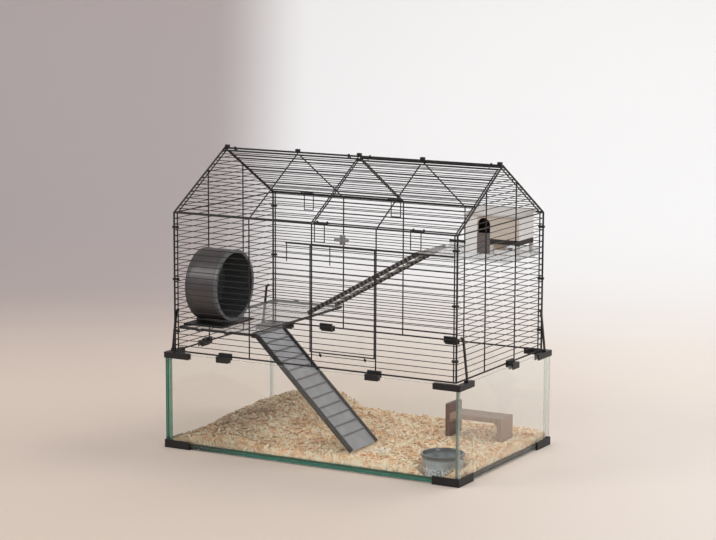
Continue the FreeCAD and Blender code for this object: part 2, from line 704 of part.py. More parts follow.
def make_clamps():
    """A strut that turns on a gable bar and stands on the rim cap with its pad."""
    pivot_z = bar_height(of("clamp_bar"))
    ring = eye_circle(bar)
    pad_x = half_length - glass / 2
    pad_z = rim + of("cap_wall") + of("clamp_rest_gap")
    lean = slant(pad_x - house_x - ring, pivot_z - pad_z)
    strut = (pivot_z - pad_z) / cosine(lean)
    thick, half = of("clamp_thick"), of("clamp_width") / 2
    for side, face in CORNERS:
        name = f"clamp_{SIDE_NAMES[side]}_{FACE_NAMES[face]}"
        near = (side > 0) == (face < 0)
        y = of("clamp_near" if near else "clamp_far") * face
        ring_piece = eye(name + "_eye", bar, "y", house_x * side, y, pivot_z)
        frame = placement((house_x + ring) * side, y, pivot_z, axis=Y_AXIS, angle=lean * -side)
        flat = box(name + "_strut", ordered(side, as_size(0), thick), (-half, half),
                   (thick - strut, as_size(0)), frame)
        pad_half = of("clamp_pad") / 2
        foot_xs = ordered(side, pad_x - pad_half, pad_x + pad_half)
        foot = box(name + "_pad", foot_xs, (y - half, y + half), (pad_z, pad_z + of("clamp_pad_thick")))
        keep(join(name, [ring_piece, flat, foot]))


hook, sheet_thick = of("hook_thick"), of("plate_sheet")
shelf_x, shelf_y = house_x - of("shelf_margin"), house_y - of("shelf_margin")


def shelf_top(bar_name):
    return bar_height(of(bar_name)) + bar + hook


def tray(name, xs, ys, top):
    """A thin plate with a skirt that hangs down all round."""
    wall = of("skirt_wall")
    outer = box(name + "_outer", xs, ys, (top - of("skirt_depth"), top))
    inner = box(name + "_inner", (xs[0] + wall, xs[1] - wall), (ys[0] + wall, ys[1] - wall),
                (top - of("skirt_depth"), top - sheet_thick))
    return cut(name + "_tray", outer, [inner])


def hook_pair(name, along, side, places, inner, line, top):
    """Hooks that reach between two bars and over the lower one, seen along x or y."""
    half = of("hook_width") / 2
    beyond = line + bar + of("play")
    pieces = []
    for index, place in enumerate(places):
        stretch = (place - half, place + half)
        for tag, depths, zs in (("arm", (inner, beyond + hook), (top - hook, top)),
                                ("tip", (beyond, beyond + hook), (top - of("hook_tip"), top))):
            across = ordered(side, *depths)
            xs, ys = (stretch, across) if along == "x" else (across, stretch)
            pieces.append(box(f"{name}_{tag}_{index}", xs, ys, zs))
    return pieces


def lugs(name, side, edge, near, far, top):
    """Two ears on a shelf's edge and the pin between them."""
    wide, gap, radius = of("lug_width"), of("lug_gap"), of("barrel_radius")
    x, z = edge + of("barrel_reach") * side, top - of("barrel_drop")
    pieces = []
    for tag, ys in (("near", (near - gap - wide, near - gap)), ("far", (far + gap, far + gap + wide))):
        xs = (edge, x + radius) if side > 0 else (x - radius, edge)
        pieces.append(box(f"{name}_lug_{tag}", xs, ys, (z - radius, z + radius)))
    pieces.append(rod(name + "_pin", of("pin_radius"), far - near + gap * 2, "y", x, near - gap, z))
    return pieces


platform_top, shelf_height = shelf_top("platform_bar"), shelf_top("shelf_bar")
platform_edge, shelf_edge = -of("platform_edge"), of("shelf_edge")
ramp_ys = (-(of("ramp_near") + of("ramp_width")), -of("ramp_near"))
ladder_ys = (of("ladder_near"), of("ladder_near") + of("ladder_width"))


def make_shelves():
    spread = of("hook_spread")
    name = "lower_platform"
    pieces = [tray(name, (-shelf_x, platform_edge), (-shelf_y, shelf_y), platform_top)]
    middle = (platform_edge - shelf_x) / 2
    for face in SIDES:
        pieces += hook_pair(f"{name}_{FACE_NAMES[face]}", "x", face,
                            (middle - spread, middle + spread), shelf_y, house_y, platform_top)
    pieces += lugs(name, 1, platform_edge, *ramp_ys, platform_top)
    keep(join(name, pieces))

    name = "upper_shelf"
    front, lip, rise = of("shelf_front"), of("lip_wall"), of("lip_height")
    pieces = [tray(name, (shelf_edge, shelf_x), (front, shelf_y), shelf_height)]
    lip_zs = (shelf_height - sheet_thick, shelf_height + rise)
    pieces.append(box(name + "_back_lip", (shelf_edge, shelf_x), (shelf_y - lip, shelf_y), lip_zs))
    middle = (shelf_edge + shelf_x) / 2
    pieces += hook_pair(name + "_back", "x", 1, (middle - spread, middle + spread), shelf_y,
                        house_y, shelf_height)
    middle = (front + shelf_y) / 2
    pieces += hook_pair(name + "_side", "y", 1, (middle - spread, middle + spread), shelf_x,
                        house_x, shelf_height)
    pieces += lugs(name, -1, shelf_edge, *ladder_ys, shelf_height)
    keep(join(name, pieces))


def stepped(name, frame, ys, length, section, spacing):
    """Cross pieces of one section, repeated down a ramp or ladder; its +x runs down."""
    body = new_body(name)
    count = Size(f"floor({(length / spacing).text})", math.floor((length / spacing).value))
    sketch = section(body, name + "_section")
    feature = pad(body, sketch, ys[1] - ys[0])
    feature.Reversed = True
    row(body, feature, "X_Axis", spacing, count - 1)
    put(body, frame, spacing, ys[0], 0)
    return body


def make_ramp():
    """A cleated board between two side rails, hung on the platform's pin."""
    ys = ramp_ys
    reach, drop = of("ramp_foot_reach"), of("ramp_foot_drop")
    tilt = slant(drop, reach)
    length = root(reach * reach + drop * drop)
    pivot_x, pivot_z = platform_edge + of("barrel_reach"), platform_top - of("barrel_drop")
    frame = placement(pivot_x, 0, pivot_z, axis=Y_AXIS, angle=tilt)
    start, board = of("board_start"), of("ramp_board") / 2
    edge, under = of("ramp_rail_width"), of("ramp_rail_under")
    wide = of("cleat_width") / 2

    def cleat(body, name):
        top = board + of("cleat_height")
        return outline_sketch(body, "XZ_Plane", name, ((-wide, 0), (wide, 0), (wide, top), (-wide, top)))

    pieces = [box("ramp_board_sheet", (start - of("pin_radius"), length), ys, (-board, board), frame)]
    for tag, low in (("near", ys[0]), ("far", ys[1] - edge)):
        pieces.append(box(f"ramp_rail_{tag}", (start, length), (low, low + edge),
                          (-under, of("ramp_rail_height") - under), frame))
    pieces.append(stepped("ramp_cleats", frame, ys, length, cleat, of("cleat_pitch")))
    pieces.append(rod("ramp_barrel", of("barrel_radius"), ys[1] - ys[0], "y", 0, ys[0], 0, frame))
    bore = rod("ramp_bore", of("pin_radius") + of("running_gap"), ys[1] - ys[0], "y", 0, ys[0], 0, frame)
    keep(cut("lower_ramp", join("ramp_whole", pieces), [bore]))


def make_ladder():
    """Two side rails with round rungs, hung on the shelf's pin; its foot is on the platform."""
    ys = ladder_ys
    reach, drop = of("ladder_foot_reach"), of("ladder_foot_drop")
    tilt = slant(drop, reach)
    length = root(reach * reach + drop * drop)
    pivot_x, pivot_z = shelf_edge - of("barrel_reach"), shelf_height - of("barrel_drop")
    frame = placement(pivot_x, 0, pivot_z, axis=Y_AXIS, angle=180 - tilt)
    start, edge = of("board_start") - of("pin_radius"), of("ladder_rail_width")
    half = of("ladder_rail_height") / 2

    def rung(body, name):
        return circle_sketch(body, "XZ_Plane", name, of("rung_radius"))

    pieces = []
    for tag, low in (("near", ys[0]), ("far", ys[1] - edge)):
        pieces.append(box(f"ladder_rail_{tag}", (start, length), (low, low + edge), (-half, half), frame))
    pieces.append(stepped("ladder_rungs", frame, ys, length, rung, of("rung_pitch")))
    pieces.append(rod("ladder_barrel", of("barrel_radius"), ys[1] - ys[0], "y", 0, ys[0], 0, frame))
    bore = rod("ladder_bore", of("pin_radius") + of("running_gap"), ys[1] - ys[0], "y", 0, ys[0], 0, frame)
    keep(cut("upper_ladder", join("ladder_whole", pieces), [bore]))


wheel_x, wheel_y = -of("wheel_back"), -of("wheel_side")
stand_top = platform_top + of("stand_base")
wheel_z = stand_top + of("wheel_floor_gap") + of("wheel_radius")


def make_wheel():
    outer, depth, wall = of("wheel_radius"), of("wheel_depth"), of("wheel_wall")
    bore = of("axle_radius") + of("running_gap")
    body = new_body("wheel_drum")
    lip = outer - of("wheel_lip")
    profile = outline_sketch(body, "XY_Plane", "drum_profile", (
        (0, bore), (0, outer), (depth, outer), (depth, lip), (depth - wall, lip),
        (depth - wall, outer - wall), (wall, outer - wall), (wall, of("hub_radius")),
        (of("hub_length"), of("hub_radius")), (of("hub_length"), bore)))
    turn(body, profile, "X_Axis")
    half, foot = of("tread_width") / 2, outer - wall
    top = foot - of("tread_height")
    section = outline_sketch(body, "YZ_Plane", "tread_profile", (
        (-half, top), (half, top), (half, foot + of("weld")), (-half, foot + of("weld"))))
    tread = pad(body, section, depth - wall)
    ring = body.newObject("PartDesign::PolarPattern", "treads")
    ring.Originals = [tread]
    ring.Axis = (datum(body, "X_Axis"), [""])
    ring.Angle = 360
    bind(ring, "Occurrences", of("tread_count"))
    body.Tip = ring
    keep(put(body, None, wheel_x, wheel_y, wheel_z))


def make_wheel_stand():
    axle, thick, play = of("axle_radius"), of("stand_thick"), of("play")
    back, half = -shelf_x, of("stand_half_width")
    front = back + thick
    base = box("stand_plate", (back, back + of("stand_reach")), (wheel_y - half, wheel_y + half),
               (platform_top, stand_top))
    narrow = of("upright_half_width")
    upright = box("stand_upright", (back, front), (wheel_y - narrow, wheel_y + narrow),
                  (platform_top, wheel_z))
    crown = rod("stand_crown", narrow, thick, "x", back, wheel_y, wheel_z)
    spacer = rod("stand_spacer", of("spacer_radius"), wheel_x - play - front, "x", front,
                 wheel_y, wheel_z)
    hub_end = wheel_x + of("hub_length")
    cap_x = hub_end + play
    axle_end = cap_x + of("axle_cap_thick")
    bore = rod("stand_bore", axle, wheel_x - back, "x", back, wheel_y, wheel_z)
    keep(cut("wheel_stand", join("stand_whole", [base, upright, crown, spacer]), [bore]))
    keep(rod("wheel_axle", axle, axle_end - back, "x", back, wheel_y, wheel_z))
    disc = rod("axle_cap_disc", of("axle_cap_radius"), of("axle_cap_thick"), "x", cap_x, wheel_y, wheel_z)
    hole = rod("axle_cap_hole", axle, of("axle_cap_thick"), "x", cap_x, wheel_y, wheel_z)
    keep(cut("wheel_axle_cap", disc, [hole]))


def make_hut():
    """Four walls and a raised floor on legs, under a roof board that rises towards the back wall."""
    left, front, wall = of("hut_left"), of("hut_front"), of("hut_wall")
    right, back = left + of("hut_width"), front + of("hut_depth")
    base = shelf_height + of("hut_stand_gap")
    low, high = base + of("hut_height"), base + of("hut_height") + of("hut_rise")
    under = base + of("hut_leg_height")
    tilt = slant(of("hut_rise"), of("hut_depth"))
    outer = box("hut_outer", (left, right), (front, back), (base, high))
    inner = box("hut_inner", (left + wall, right - wall), (front + wall, back - wall),
                (under + of("hut_floor"), high))
    slope = placement(left, front, low, axis=X_AXIS, angle=tilt)
    long, deep = of("hut_width"), of("hut_depth") / cosine(tilt)
    above = box("hut_above", (-long, long * 2), (-deep, deep * 2), (as_size(0), deep), slope)
    door, door_x = of("hut_door_width") / 2, of("hut_door_centre")
    sill = base + of("hut_sill")
    spring_line = sill + of("hut_door_height") - door
    doorway = box("hut_doorway", (door_x - door, door_x + door), (front - wall, front + wall * 2),
                  (sill, spring_line))
    arch = rod("hut_arch", door, wall * 3, "y", door_x, front - wall, spring_line)
    leg = of("hut_leg")
    under_long = box("hut_under_long", (door_x + door + leg, right - leg), (front - wall, back + wall),
                     (base, under))
    under_deep = box("hut_under_deep", (left - wall, right + wall), (front + leg, back - leg), (base, under))
    keep(cut("hut_walls", outer, [inner, above, doorway, arch, under_long, under_deep]))
    over = of("hut_overhang")
    keep(box("hut_roof", (-over, long + over), (-over, deep + over), (as_size(0), of("hut_roof_thick")),
             slope))


def make_hide():
    """A bridge of board with a wide opening that has rounded upper corners, and a taller left end."""
    centre, half, deep = of("hide_centre"), of("hide_width") / 2, of("hide_depth")
    front = of("hide_middle") - deep / 2
    base = of("bedding_level") + of("bedding_clear")
    ys = (front, front + deep)
    outer = box("hide_block", (centre - half, centre + half), ys, (base, base + of("hide_height")))
    end = box("hide_end_board", (centre - half, centre - half + of("hide_wall")), ys,
              (base, base + of("hide_end")))
    inner, bend = half - of("hide_wall"), of("hide_corner")
    top = base + of("hide_height") - of("hide_wall")
    gaps = [box("hide_gap", (centre - inner, centre + inner), ys, (base, top - bend)),
            box("hide_gap_top", (centre - inner + bend, centre + inner - bend), ys, (base, top))]
    for side in SIDES:
        gaps.append(rod(f"hide_corner_{side}", bend, deep, "y", centre + (inner - bend) * side,
                        front, top - bend))
    keep(cut("wood_hide", join("hide_whole", [outer, end]), gaps))


def make_bowl():
    foot, lip, wall, base = of("bowl_foot_radius"), of("bowl_rim_radius"), of("bowl_wall"), of("bowl_base")
    tall = of("bowl_height")
    body = new_body("food_bowl")
    profile = outline_sketch(body, "XZ_Plane", "bowl_profile", (
        (0, 0), (foot, 0), (lip, tall), (lip - wall, tall), (foot - wall, base), (0, base)))
    turn(body, profile, "Z_Axis")
    keep(put(body, None, of("bowl_centre_long"), -of("bowl_centre_wide"), floor_top + of("bowl_stand_gap")))


def make_bedding():
    """Loose shavings as one plain heap, with a well for the bowl."""
    body = new_body("bedding_heap")
    side = of("seam_leg") + of("bedding_clear")
    edge, low = inner_length - side, floor_top + of("bedding_clear")
    level, heap = of("bedding_level"), of("bedding_heap")
    shoulder = of("shoulder_height")
    profile = outline_sketch(body, "XZ_Plane", "bedding_profile", (
        (-edge, low), (edge, low), (edge, level), (-of("heap_foot"), level),
        (-of("heap_right_shoulder"), shoulder), (-of("heap_peak"), heap),
        (-of("heap_left_shoulder"), shoulder), (-edge, of("bedding_edge"))))
    body.Tip = pad(body, profile, (inner_width - side) * 2, symmetric=True)
    well = rod("bowl_well", of("bowl_rim_radius") + of("bowl_well_gap"), level, "z",
               of("bowl_centre_long"), -of("bowl_centre_wide"), floor_top)
    keep(cut("bedding", body, [well]))


def check(piece):
    """Stop if an object failed to compute or a sub-part has no sound shape."""
    bad = [state for state in piece.State if state in ("Invalid", "Error")]
    if bad:
        raise RuntimeError(f"{piece.Name} is {bad}")


def export():
    os.makedirs("parts", exist_ok=True)
    doc.recompute()
    for piece in doc.Objects:
        check(piece)
    for piece in NODES:
        if piece.Shape.isNull() or not piece.Shape.isValid():
            raise RuntimeError(f"{piece.Label} has no valid shape")
    for piece in NODES:
        piece.Shape.exportStep(f"parts/{piece.Label}.step")
        print(piece.Label, len(piece.Shape.Solids), "solids", round(piece.Shape.Volume), "mm3")


make_glass()
make_seams()
make_feet()
make_rim_caps()
make_walls()
make_gables()
make_roof()
make_ridge_knobs()
make_corner_ties()
make_latches()
make_door()
make_door_latch()
make_rim_clips()
make_clamps()
make_shelves()
make_ramp()
make_ladder()
make_wheel()
make_wheel_stand()
make_hut()
make_hide()
make_bowl()
make_bedding()
export()
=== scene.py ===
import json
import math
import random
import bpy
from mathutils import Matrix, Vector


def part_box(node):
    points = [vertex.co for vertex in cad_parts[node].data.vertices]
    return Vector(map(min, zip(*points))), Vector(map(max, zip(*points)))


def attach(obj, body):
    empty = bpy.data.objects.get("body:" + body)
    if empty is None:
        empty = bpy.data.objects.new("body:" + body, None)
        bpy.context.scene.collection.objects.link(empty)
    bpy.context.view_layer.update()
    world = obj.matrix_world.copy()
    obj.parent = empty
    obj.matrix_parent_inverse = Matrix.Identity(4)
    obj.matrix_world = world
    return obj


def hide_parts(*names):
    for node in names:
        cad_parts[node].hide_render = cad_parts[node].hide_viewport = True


bl_info = {
    "name": "Glass Base Hamster Cage",
    "version": (1, 0, 0),
    "blender": (4, 5, 0),
    "location": "3D View > Sidebar > Cage",
    "description": "Dresses the packed cage: glass base, wire house, wheel, ramps, hut, bowl and shavings",
    "category": "Object",
}

import bmesh
import bpy
import numpy
from mathutils import Matrix, Vector, noise

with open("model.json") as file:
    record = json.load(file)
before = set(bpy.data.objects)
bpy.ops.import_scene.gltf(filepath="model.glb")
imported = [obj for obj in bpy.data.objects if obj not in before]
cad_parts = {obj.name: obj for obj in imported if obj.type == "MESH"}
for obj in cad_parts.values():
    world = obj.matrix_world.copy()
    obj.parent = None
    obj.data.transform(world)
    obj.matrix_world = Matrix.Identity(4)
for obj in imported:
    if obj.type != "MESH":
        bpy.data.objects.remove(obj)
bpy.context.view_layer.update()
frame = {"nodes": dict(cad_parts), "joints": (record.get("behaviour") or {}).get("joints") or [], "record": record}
MM = 0.001
X, Y, Z = range(3)
WHITE = (1.0, 1.0, 1.0)


# Sizes and colours that a maker would change

class CageSizes(bpy.types.PropertyGroup):
    """Sizes of the finishing work."""

    edge_round: bpy.props.FloatProperty(
        name="Plastic edge rounding", description="Radius on the edges of the moulded parts",
        default=0.45 * MM, min=0.0, max=2 * MM, precision=5, unit="LENGTH")
    arris: bpy.props.FloatProperty(
        name="Glass arris", description="Ground edge of each pane",
        default=0.5 * MM, min=0.0, max=1.5 * MM, precision=5, unit="LENGTH")
    flake_count: bpy.props.IntProperty(
        name="Shavings", description="Loose shavings on top of the heap", default=8600, min=0, max=20000)
    side_flake_count: bpy.props.IntProperty(
        name="Shavings at the glass", description="Shavings pressed to the panes",
        default=2600, min=0, max=8000)
    flake_scale: bpy.props.FloatProperty(
        name="Shaving size", description="Factor on the size of a shaving", default=1.0, min=0.3, max=2.0)
    lump: bpy.props.FloatProperty(
        name="Heap lumps", description="Height of the lumps in the heap",
        default=4 * MM, min=0.0, max=10 * MM, precision=4, unit="LENGTH")
    seed: bpy.props.IntProperty(name="Seed", description="Layout of the shavings", default=7, min=0)


def colour(name, description, default):
    """A colour setting."""
    return bpy.props.FloatVectorProperty(
        name=name, description=description, default=default, size=3, min=0.0, max=1.0, subtype="COLOR")


class CageColours(bpy.types.PropertyGroup):
    """Colours of the materials."""

    glass_edge: colour("Glass edge", "Green at the edge of a pane", (0.008, 0.135, 0.088))
    wire: colour("Wire", "Powder coat on the wires", (0.014, 0.012, 0.013))
    plastic: colour("Black plastic", "Feet, caps, clips and clamps", (0.009, 0.008, 0.008))
    shelf: colour("Shelf edge", "Edges of the shelves, and rails of the ramps", (0.020, 0.018, 0.018))
    ramp: colour("Ramp", "Deck of the ramp", (0.315, 0.312, 0.322))
    ladder: colour("Ladder rungs", "Rungs of the ladder", (0.26, 0.23, 0.21))
    wheel: colour("Wheel", "Drum of the wheel", (0.058, 0.050, 0.049))
    hut_front: colour("Hut front", "White board of the hut", (0.95, 0.92, 0.90))
    hut_side: colour("Hut sides", "Other boards of the hut", (0.68, 0.59, 0.51))
    hide: colour("Hide", "Oiled plywood of the hide", (0.33, 0.215, 0.155))
    bowl: colour("Bowl glaze", "Glaze on the bowl", (0.235, 0.265, 0.270))
    shaving_pale: colour("Pale shavings", "Sapwood shavings", (1.0, 0.87, 0.64))
    shaving_dark: colour("Dark shavings", "Heartwood shavings", (0.90, 0.56, 0.31))


# Shader sums

class Value:
    """A shader socket that is used in sums as a number is."""

    def __init__(self, finish, socket):
        self.finish = finish
        self.socket = socket

    def sum(self, operation, first, second=0.0):
        return self.finish.node("ShaderNodeMath", {"operation": operation}, {0: first, 1: second})

    def __add__(self, other):
        return self.sum("ADD", self, other)

    def __radd__(self, other):
        return self.sum("ADD", other, self)

    def __sub__(self, other):
        return self.sum("SUBTRACT", self, other)

    def __rsub__(self, other):
        return self.sum("SUBTRACT", other, self)

    def __mul__(self, other):
        return self.sum("MULTIPLY", self, other)

    def __rmul__(self, other):
        return self.sum("MULTIPLY", other, self)

    def __pow__(self, other):
        return self.sum("POWER", self, other)

    def __gt__(self, other):
        return self.sum("GREATER_THAN", self, other)

    def __lt__(self, other):
        return self.sum("LESS_THAN", self, other)

    def __abs__(self):
        return self.sum("ABSOLUTE", self)

    def sine(self):
        return self.sum("SINE", self)

    def least(self, other):
        return self.sum("MINIMUM", self, other)

    def most(self, other):
        return self.sum("MAXIMUM", self, other)

    def between(self, low, high):
        """Rises from 0 at low to 1 at high, and stays in that range."""
        return self.finish.node("ShaderNodeMapRange", {"interpolation_type": "SMOOTHSTEP"},
                                {"Value": self, "From Min": low, "From Max": high})


# Numbers of the colour sockets of a Mix node
MIX_FIRST, MIX_SECOND, MIX_RESULT = 6, 7, 2


class Finish:
    """One procedural material."""

    def __init__(self, name):
        self.material = bpy.data.materials.new(name)
        self.material.use_nodes = True
        self.tree = self.material.node_tree
        self.tree.nodes.clear()
        self.place = self.node("ShaderNodeTexCoord", output="Object")

    def node(self, kind, settings=None, sockets=None, output=0):
        """Adds a node: its settings first, then the numbers or links of its sockets."""
        node = self.tree.nodes.new(kind)
        for key, value in (settings or {}).items():
            setattr(node, key, value)
        for key, value in (sockets or {}).items():
            if isinstance(value, Value):
                self.tree.links.new(value.socket, node.inputs[key])
            elif isinstance(value, tuple) and node.inputs[key].type == "RGBA":
                node.inputs[key].default_value = (*value, 1.0)
            else:
                node.inputs[key].default_value = value
        return Value(self, node.outputs[output])

    def axes(self):
        """X, Y and Z of the object's own space."""
        split = self.node("ShaderNodeSeparateXYZ", sockets={"Vector": self.place})
        return [Value(self, split.socket.node.outputs[axis]) for axis in (X, Y, Z)]

    def stretched(self, scale, turn=(0.0, 0.0, 0.0)):
        """The place, scaled and turned, for grain."""
        return self.node("ShaderNodeMapping", sockets={
            "Vector": self.place, "Scale": scale, "Rotation": turn})

    def slant(self):
        """0 where a face is seen square on, 1 where it is seen edge on."""
        return self.node("ShaderNodeLayerWeight", sockets={"Blend": 0.5}, output="Facing")

    def mottle(self, scale, detail=2.0, rough=0.5, place=None, warp=0.0):
        """Noise, from 0 to 1; scale is in lumps for each metre."""
        return self.node("ShaderNodeTexNoise", sockets={
            "Vector": place or self.place, "Scale": scale, "Detail": detail, "Roughness": rough,
            "Distortion": warp})

    def tint(self, factor, first, second, blend="MIX"):
        """Mixes two colours."""
        return self.node("ShaderNodeMix", {"data_type": "RGBA", "blend_type": blend},
                         {0: factor, MIX_FIRST: first, MIX_SECOND: second}, MIX_RESULT)

    def ramp(self, factor, stops):
        """Colours at their positions from 0 to 1, blended in between."""
        made = self.node("ShaderNodeValToRGB", sockets={0: factor})
        elements = made.socket.node.color_ramp.elements
        while len(elements) < len(stops):
            elements.new(1.0)
        for element, (position, tint) in zip(elements, stops):
            element.position = position
            element.color = (*tint, 1.0)
        return made

    def bump(self, height, strength, distance):
        return self.node("ShaderNodeBump", sockets={
            "Height": height, "Strength": strength, "Distance": distance})

    def shaded(self, base, rough, normal=None, **fixed):
        """A Principled surface."""
        sockets = {"Base Color": base, "Roughness": rough}
        if normal is not None:
            sockets["Normal"] = normal
        sockets.update({key.replace("_", " "): value for key, value in fixed.items()})
        return self.node("ShaderNodeBsdfPrincipled", sockets=sockets)

    def done(self, shader):
        output = self.tree.nodes.new("ShaderNodeOutputMaterial")
        self.tree.links.new(shader.socket, output.inputs["Surface"])
        return self.material

    def over_clear(self, cover, body, clear):
        """Shows the body by its cover, and lets light through for the rest."""
        through = self.node("ShaderNodeBsdfTransparent", sockets={"Color": clear})
        return self.done(self.node("ShaderNodeMixShader", sockets={0: cover, 1: through, 2: body}))


def lighter(tint, factor):
    """A colour times a factor, below 1 for a darker one."""
    return tuple(min(1.0, part * factor) for part in tint)


# Finishes

# Span in x where the painted shade on the lower edges of the glass fades out, from dark to green
SHADED_LEFT_SPAN = (-240 * MM, -100 * MM)
# Drop over reach of the ramp and the ladder, from pivot to foot
RAMP_SLOPE = math.atan2(191.0, 197.0)
LADDER_SLOPE = math.atan2(129.0, 229.0)
RAMP_BOARD = 1.5 * MM
RAIL_WIDTH = 4.2 * MM


def clear_glass():
    """Float glass seen through its face: a trace of green, and more reflection at a slant."""
    f = Finish("clear_float_glass")
    gloss = 0.035 + 0.9 * f.slant() ** 5.0
    smear = f.mottle(9.0, 3.0)
    shine = f.node("ShaderNodeBsdfGlossy", sockets={"Color": WHITE, "Roughness": 0.02 + 0.03 * smear})
    return f.over_clear(gloss, shine, (0.985, 0.993, 0.989))


def glass_edge(name, tint, cover, gleam=0.45):
    """The ground edge of a pane, where light comes out green."""
    f = Finish(name)
    streak = f.mottle(1.0, 3.0, place=f.stretched((40.0, 40.0, 900.0)))
    glow = f.mottle(6.0, 2.0)
    base = f.tint(streak.between(0.35, 0.7), tint, lighter(tint, 1.7))
    base = f.tint(glow.between(0.3, 0.75), base, lighter(tint, 1.35))
    x, _, z = f.axes()
    # Painted shade on the lower edges at the left end
    shaded_lower_left = (1.0 - x.between(*SHADED_LEFT_SPAN)) * (z < 20 * MM)
    shade = f.tint(shaded_lower_left * 0.9, WHITE, (0.12, 0.14, 0.14))
    body = f.shaded(f.tint(1.0, base, shade, "MULTIPLY"), 0.2 + 0.12 * streak, Specular_IOR_Level=gleam)
    return f.over_clear(cover, body, lighter(tint, 4.0))


def clear_acrylic():
    """Cast acrylic sheet: seen through, with a little dust and rub on it."""
    f = Finish("clear_acrylic")
    dust = f.mottle(60.0, 5.0, 0.65)
    cover = 0.05 + 0.5 * f.slant() ** 5.0 + 0.07 * dust.between(0.5, 0.8)
    body = f.shaded(f.tint(dust, (0.42, 0.41, 0.40), (0.62, 0.60, 0.58)), 0.06 + 0.2 * dust)
    return f.over_clear(cover, body, (0.95, 0.955, 0.955))


def smoked_edge(tint):
    """The edge of a clear sheet: dark, partly as painted shade, on the lower sheet, along the back and left of the
    hut; clear in front of the hut.
    """
    f = Finish("acrylic_edge")
    x, y, z = f.axes()
    between_sheets, under_shelf, left_of_hut, back = 300 * MM, 366 * MM, 184 * MM, 168 * MM
    # Dark edge band: the sheet's own dark edge, partly painted shade
    dark_edge_and_shade = (z < between_sheets).most((x < left_of_hut) * (z > under_shelf)).most(y > back)
    saw = f.mottle(1.0, 3.0, place=f.stretched((700.0, 700.0, 60.0)))
    cover = (dark_edge_and_shade * (0.94 + 0.05 * saw)).most(0.06)
    body = f.shaded(f.tint(saw, tint, lighter(tint, 2.2)), 0.35 + 0.2 * saw, Specular_IOR_Level=0.25)
    return f.over_clear(cover, body, (0.86, 0.86, 0.86))


def clear_silicone(low, high):
    """Clear bead that takes the green of the panes beside it; low and high are its box."""
    f = Finish("clear_silicone_bead")
    x, y, z = f.axes()
    bead, bottom = 6.5 * MM, z < low.z + 6 * MM
    front, left, right = y < low.y + bead, x < low.x + bead, x > high.x - bead
    front_left, front_right = front * left, front * right
    cloud = f.mottle(70.0, 3.0)
    base = f.tint(cloud, (0.55, 0.62, 0.59), (0.74, 0.79, 0.77))
    base = f.tint(front_left, base, (0.055, 0.25, 0.155))
    base = f.tint(front_right, base, (0.17, 0.21, 0.165))
    base = f.tint(bottom * right, base, (0.009, 0.012, 0.008))
    base = f.tint(bottom * front, base, (0.005, 0.085, 0.045))
    # Painted shade on the bottom of the bead at the left end
    base = f.tint((1.0 - x.between(*SHADED_LEFT_SPAN)) * bottom * front * 0.9, base, (0.004, 0.016, 0.011))
    uprights = (front_left * 0.6).most(front_right * 0.62)
    cover = uprights.most(bottom * (front + right) * 0.95).most(0.30).least(0.95)
    body = f.shaded(base, 0.3 + 0.1 * cloud, f.bump(cloud, 0.2, 0.2 * MM))
    return f.over_clear(cover, body, (0.93, 0.96, 0.95))


def powder_coat(name, tint):
    """Powder coat on steel wire: fine orange peel and a little dust."""
    f = Finish(name)
    peel, dust = f.mottle(1300.0, 2.0), f.mottle(38.0, 4.0, 0.6)
    base = f.tint(dust.between(0.42, 0.8), tint, lighter(tint, 1.9))
    return f.done(f.shaded(base, 0.42 + 0.16 * dust, f.bump(peel, 0.22, 0.06 * MM), Specular_IOR_Level=0.3))


def moulded_plastic(name, tint, rough=0.40, grain=900.0, wear=1.8):
    """Moulded plastic with a fine grain."""
    f = Finish(name)
    grit, cloud = f.mottle(grain, 3.0, 0.6), f.mottle(26.0, 4.0, 0.55)
    base = f.tint(cloud.between(0.4, 0.8), tint, lighter(tint, wear))
    return f.done(f.shaded(base, rough + 0.12 * cloud - 0.05 * grit, f.bump(grit, 0.28, 0.07 * MM),
                           Specular_IOR_Level=0.35))


def wheel_plastic(tint, centre, outer, depth):
    """Smoky plastic with the rings that turning leaves, with painted light inside the drum and a painted highlight
    on the lip.
    """
    f = Finish("smoky_wheel_plastic")
    x, y, z = f.axes()
    across, up = y - centre.y, z - centre.z
    radius = (across * across + up * up) ** 0.5
    ring_place = f.node("ShaderNodeCombineXYZ", sockets={"X": x * 500.0, "Y": radius * 700.0})
    rings = f.mottle(1.0, 2.0, place=ring_place)
    rub = f.mottle(48.0, 4.0, 0.6)
    inside = (radius < outer - 2.0 * MM) * (x < centre.x + depth - 2.8 * MM)
    rim = (x > centre.x + depth - 5.5 * MM) * (radius > outer - 6.5 * MM)
    base = f.tint(rub.between(0.4, 0.75), tint, lighter(tint, 1.35))
    # Painted light: inside the drum the plastic gets its own, bluer tone
    base = f.tint(inside, base, (0.064, 0.066, 0.066))
    # Painted highlight: a paler blue-grey ring on the lip
    base = f.tint(rim, base, (0.092, 0.100, 0.106))
    return f.done(f.shaded(base, 0.30 + 0.16 * rub, f.bump(rings, 0.10, 0.05 * MM), Specular_IOR_Level=0.55))


def rails(y, low, high):
    """1 on the side rails of a ramp that lies in the box from low to high."""
    return abs(y - (low.y + high.y) / 2) > (high.y - low.y) / 2 - RAIL_WIDTH


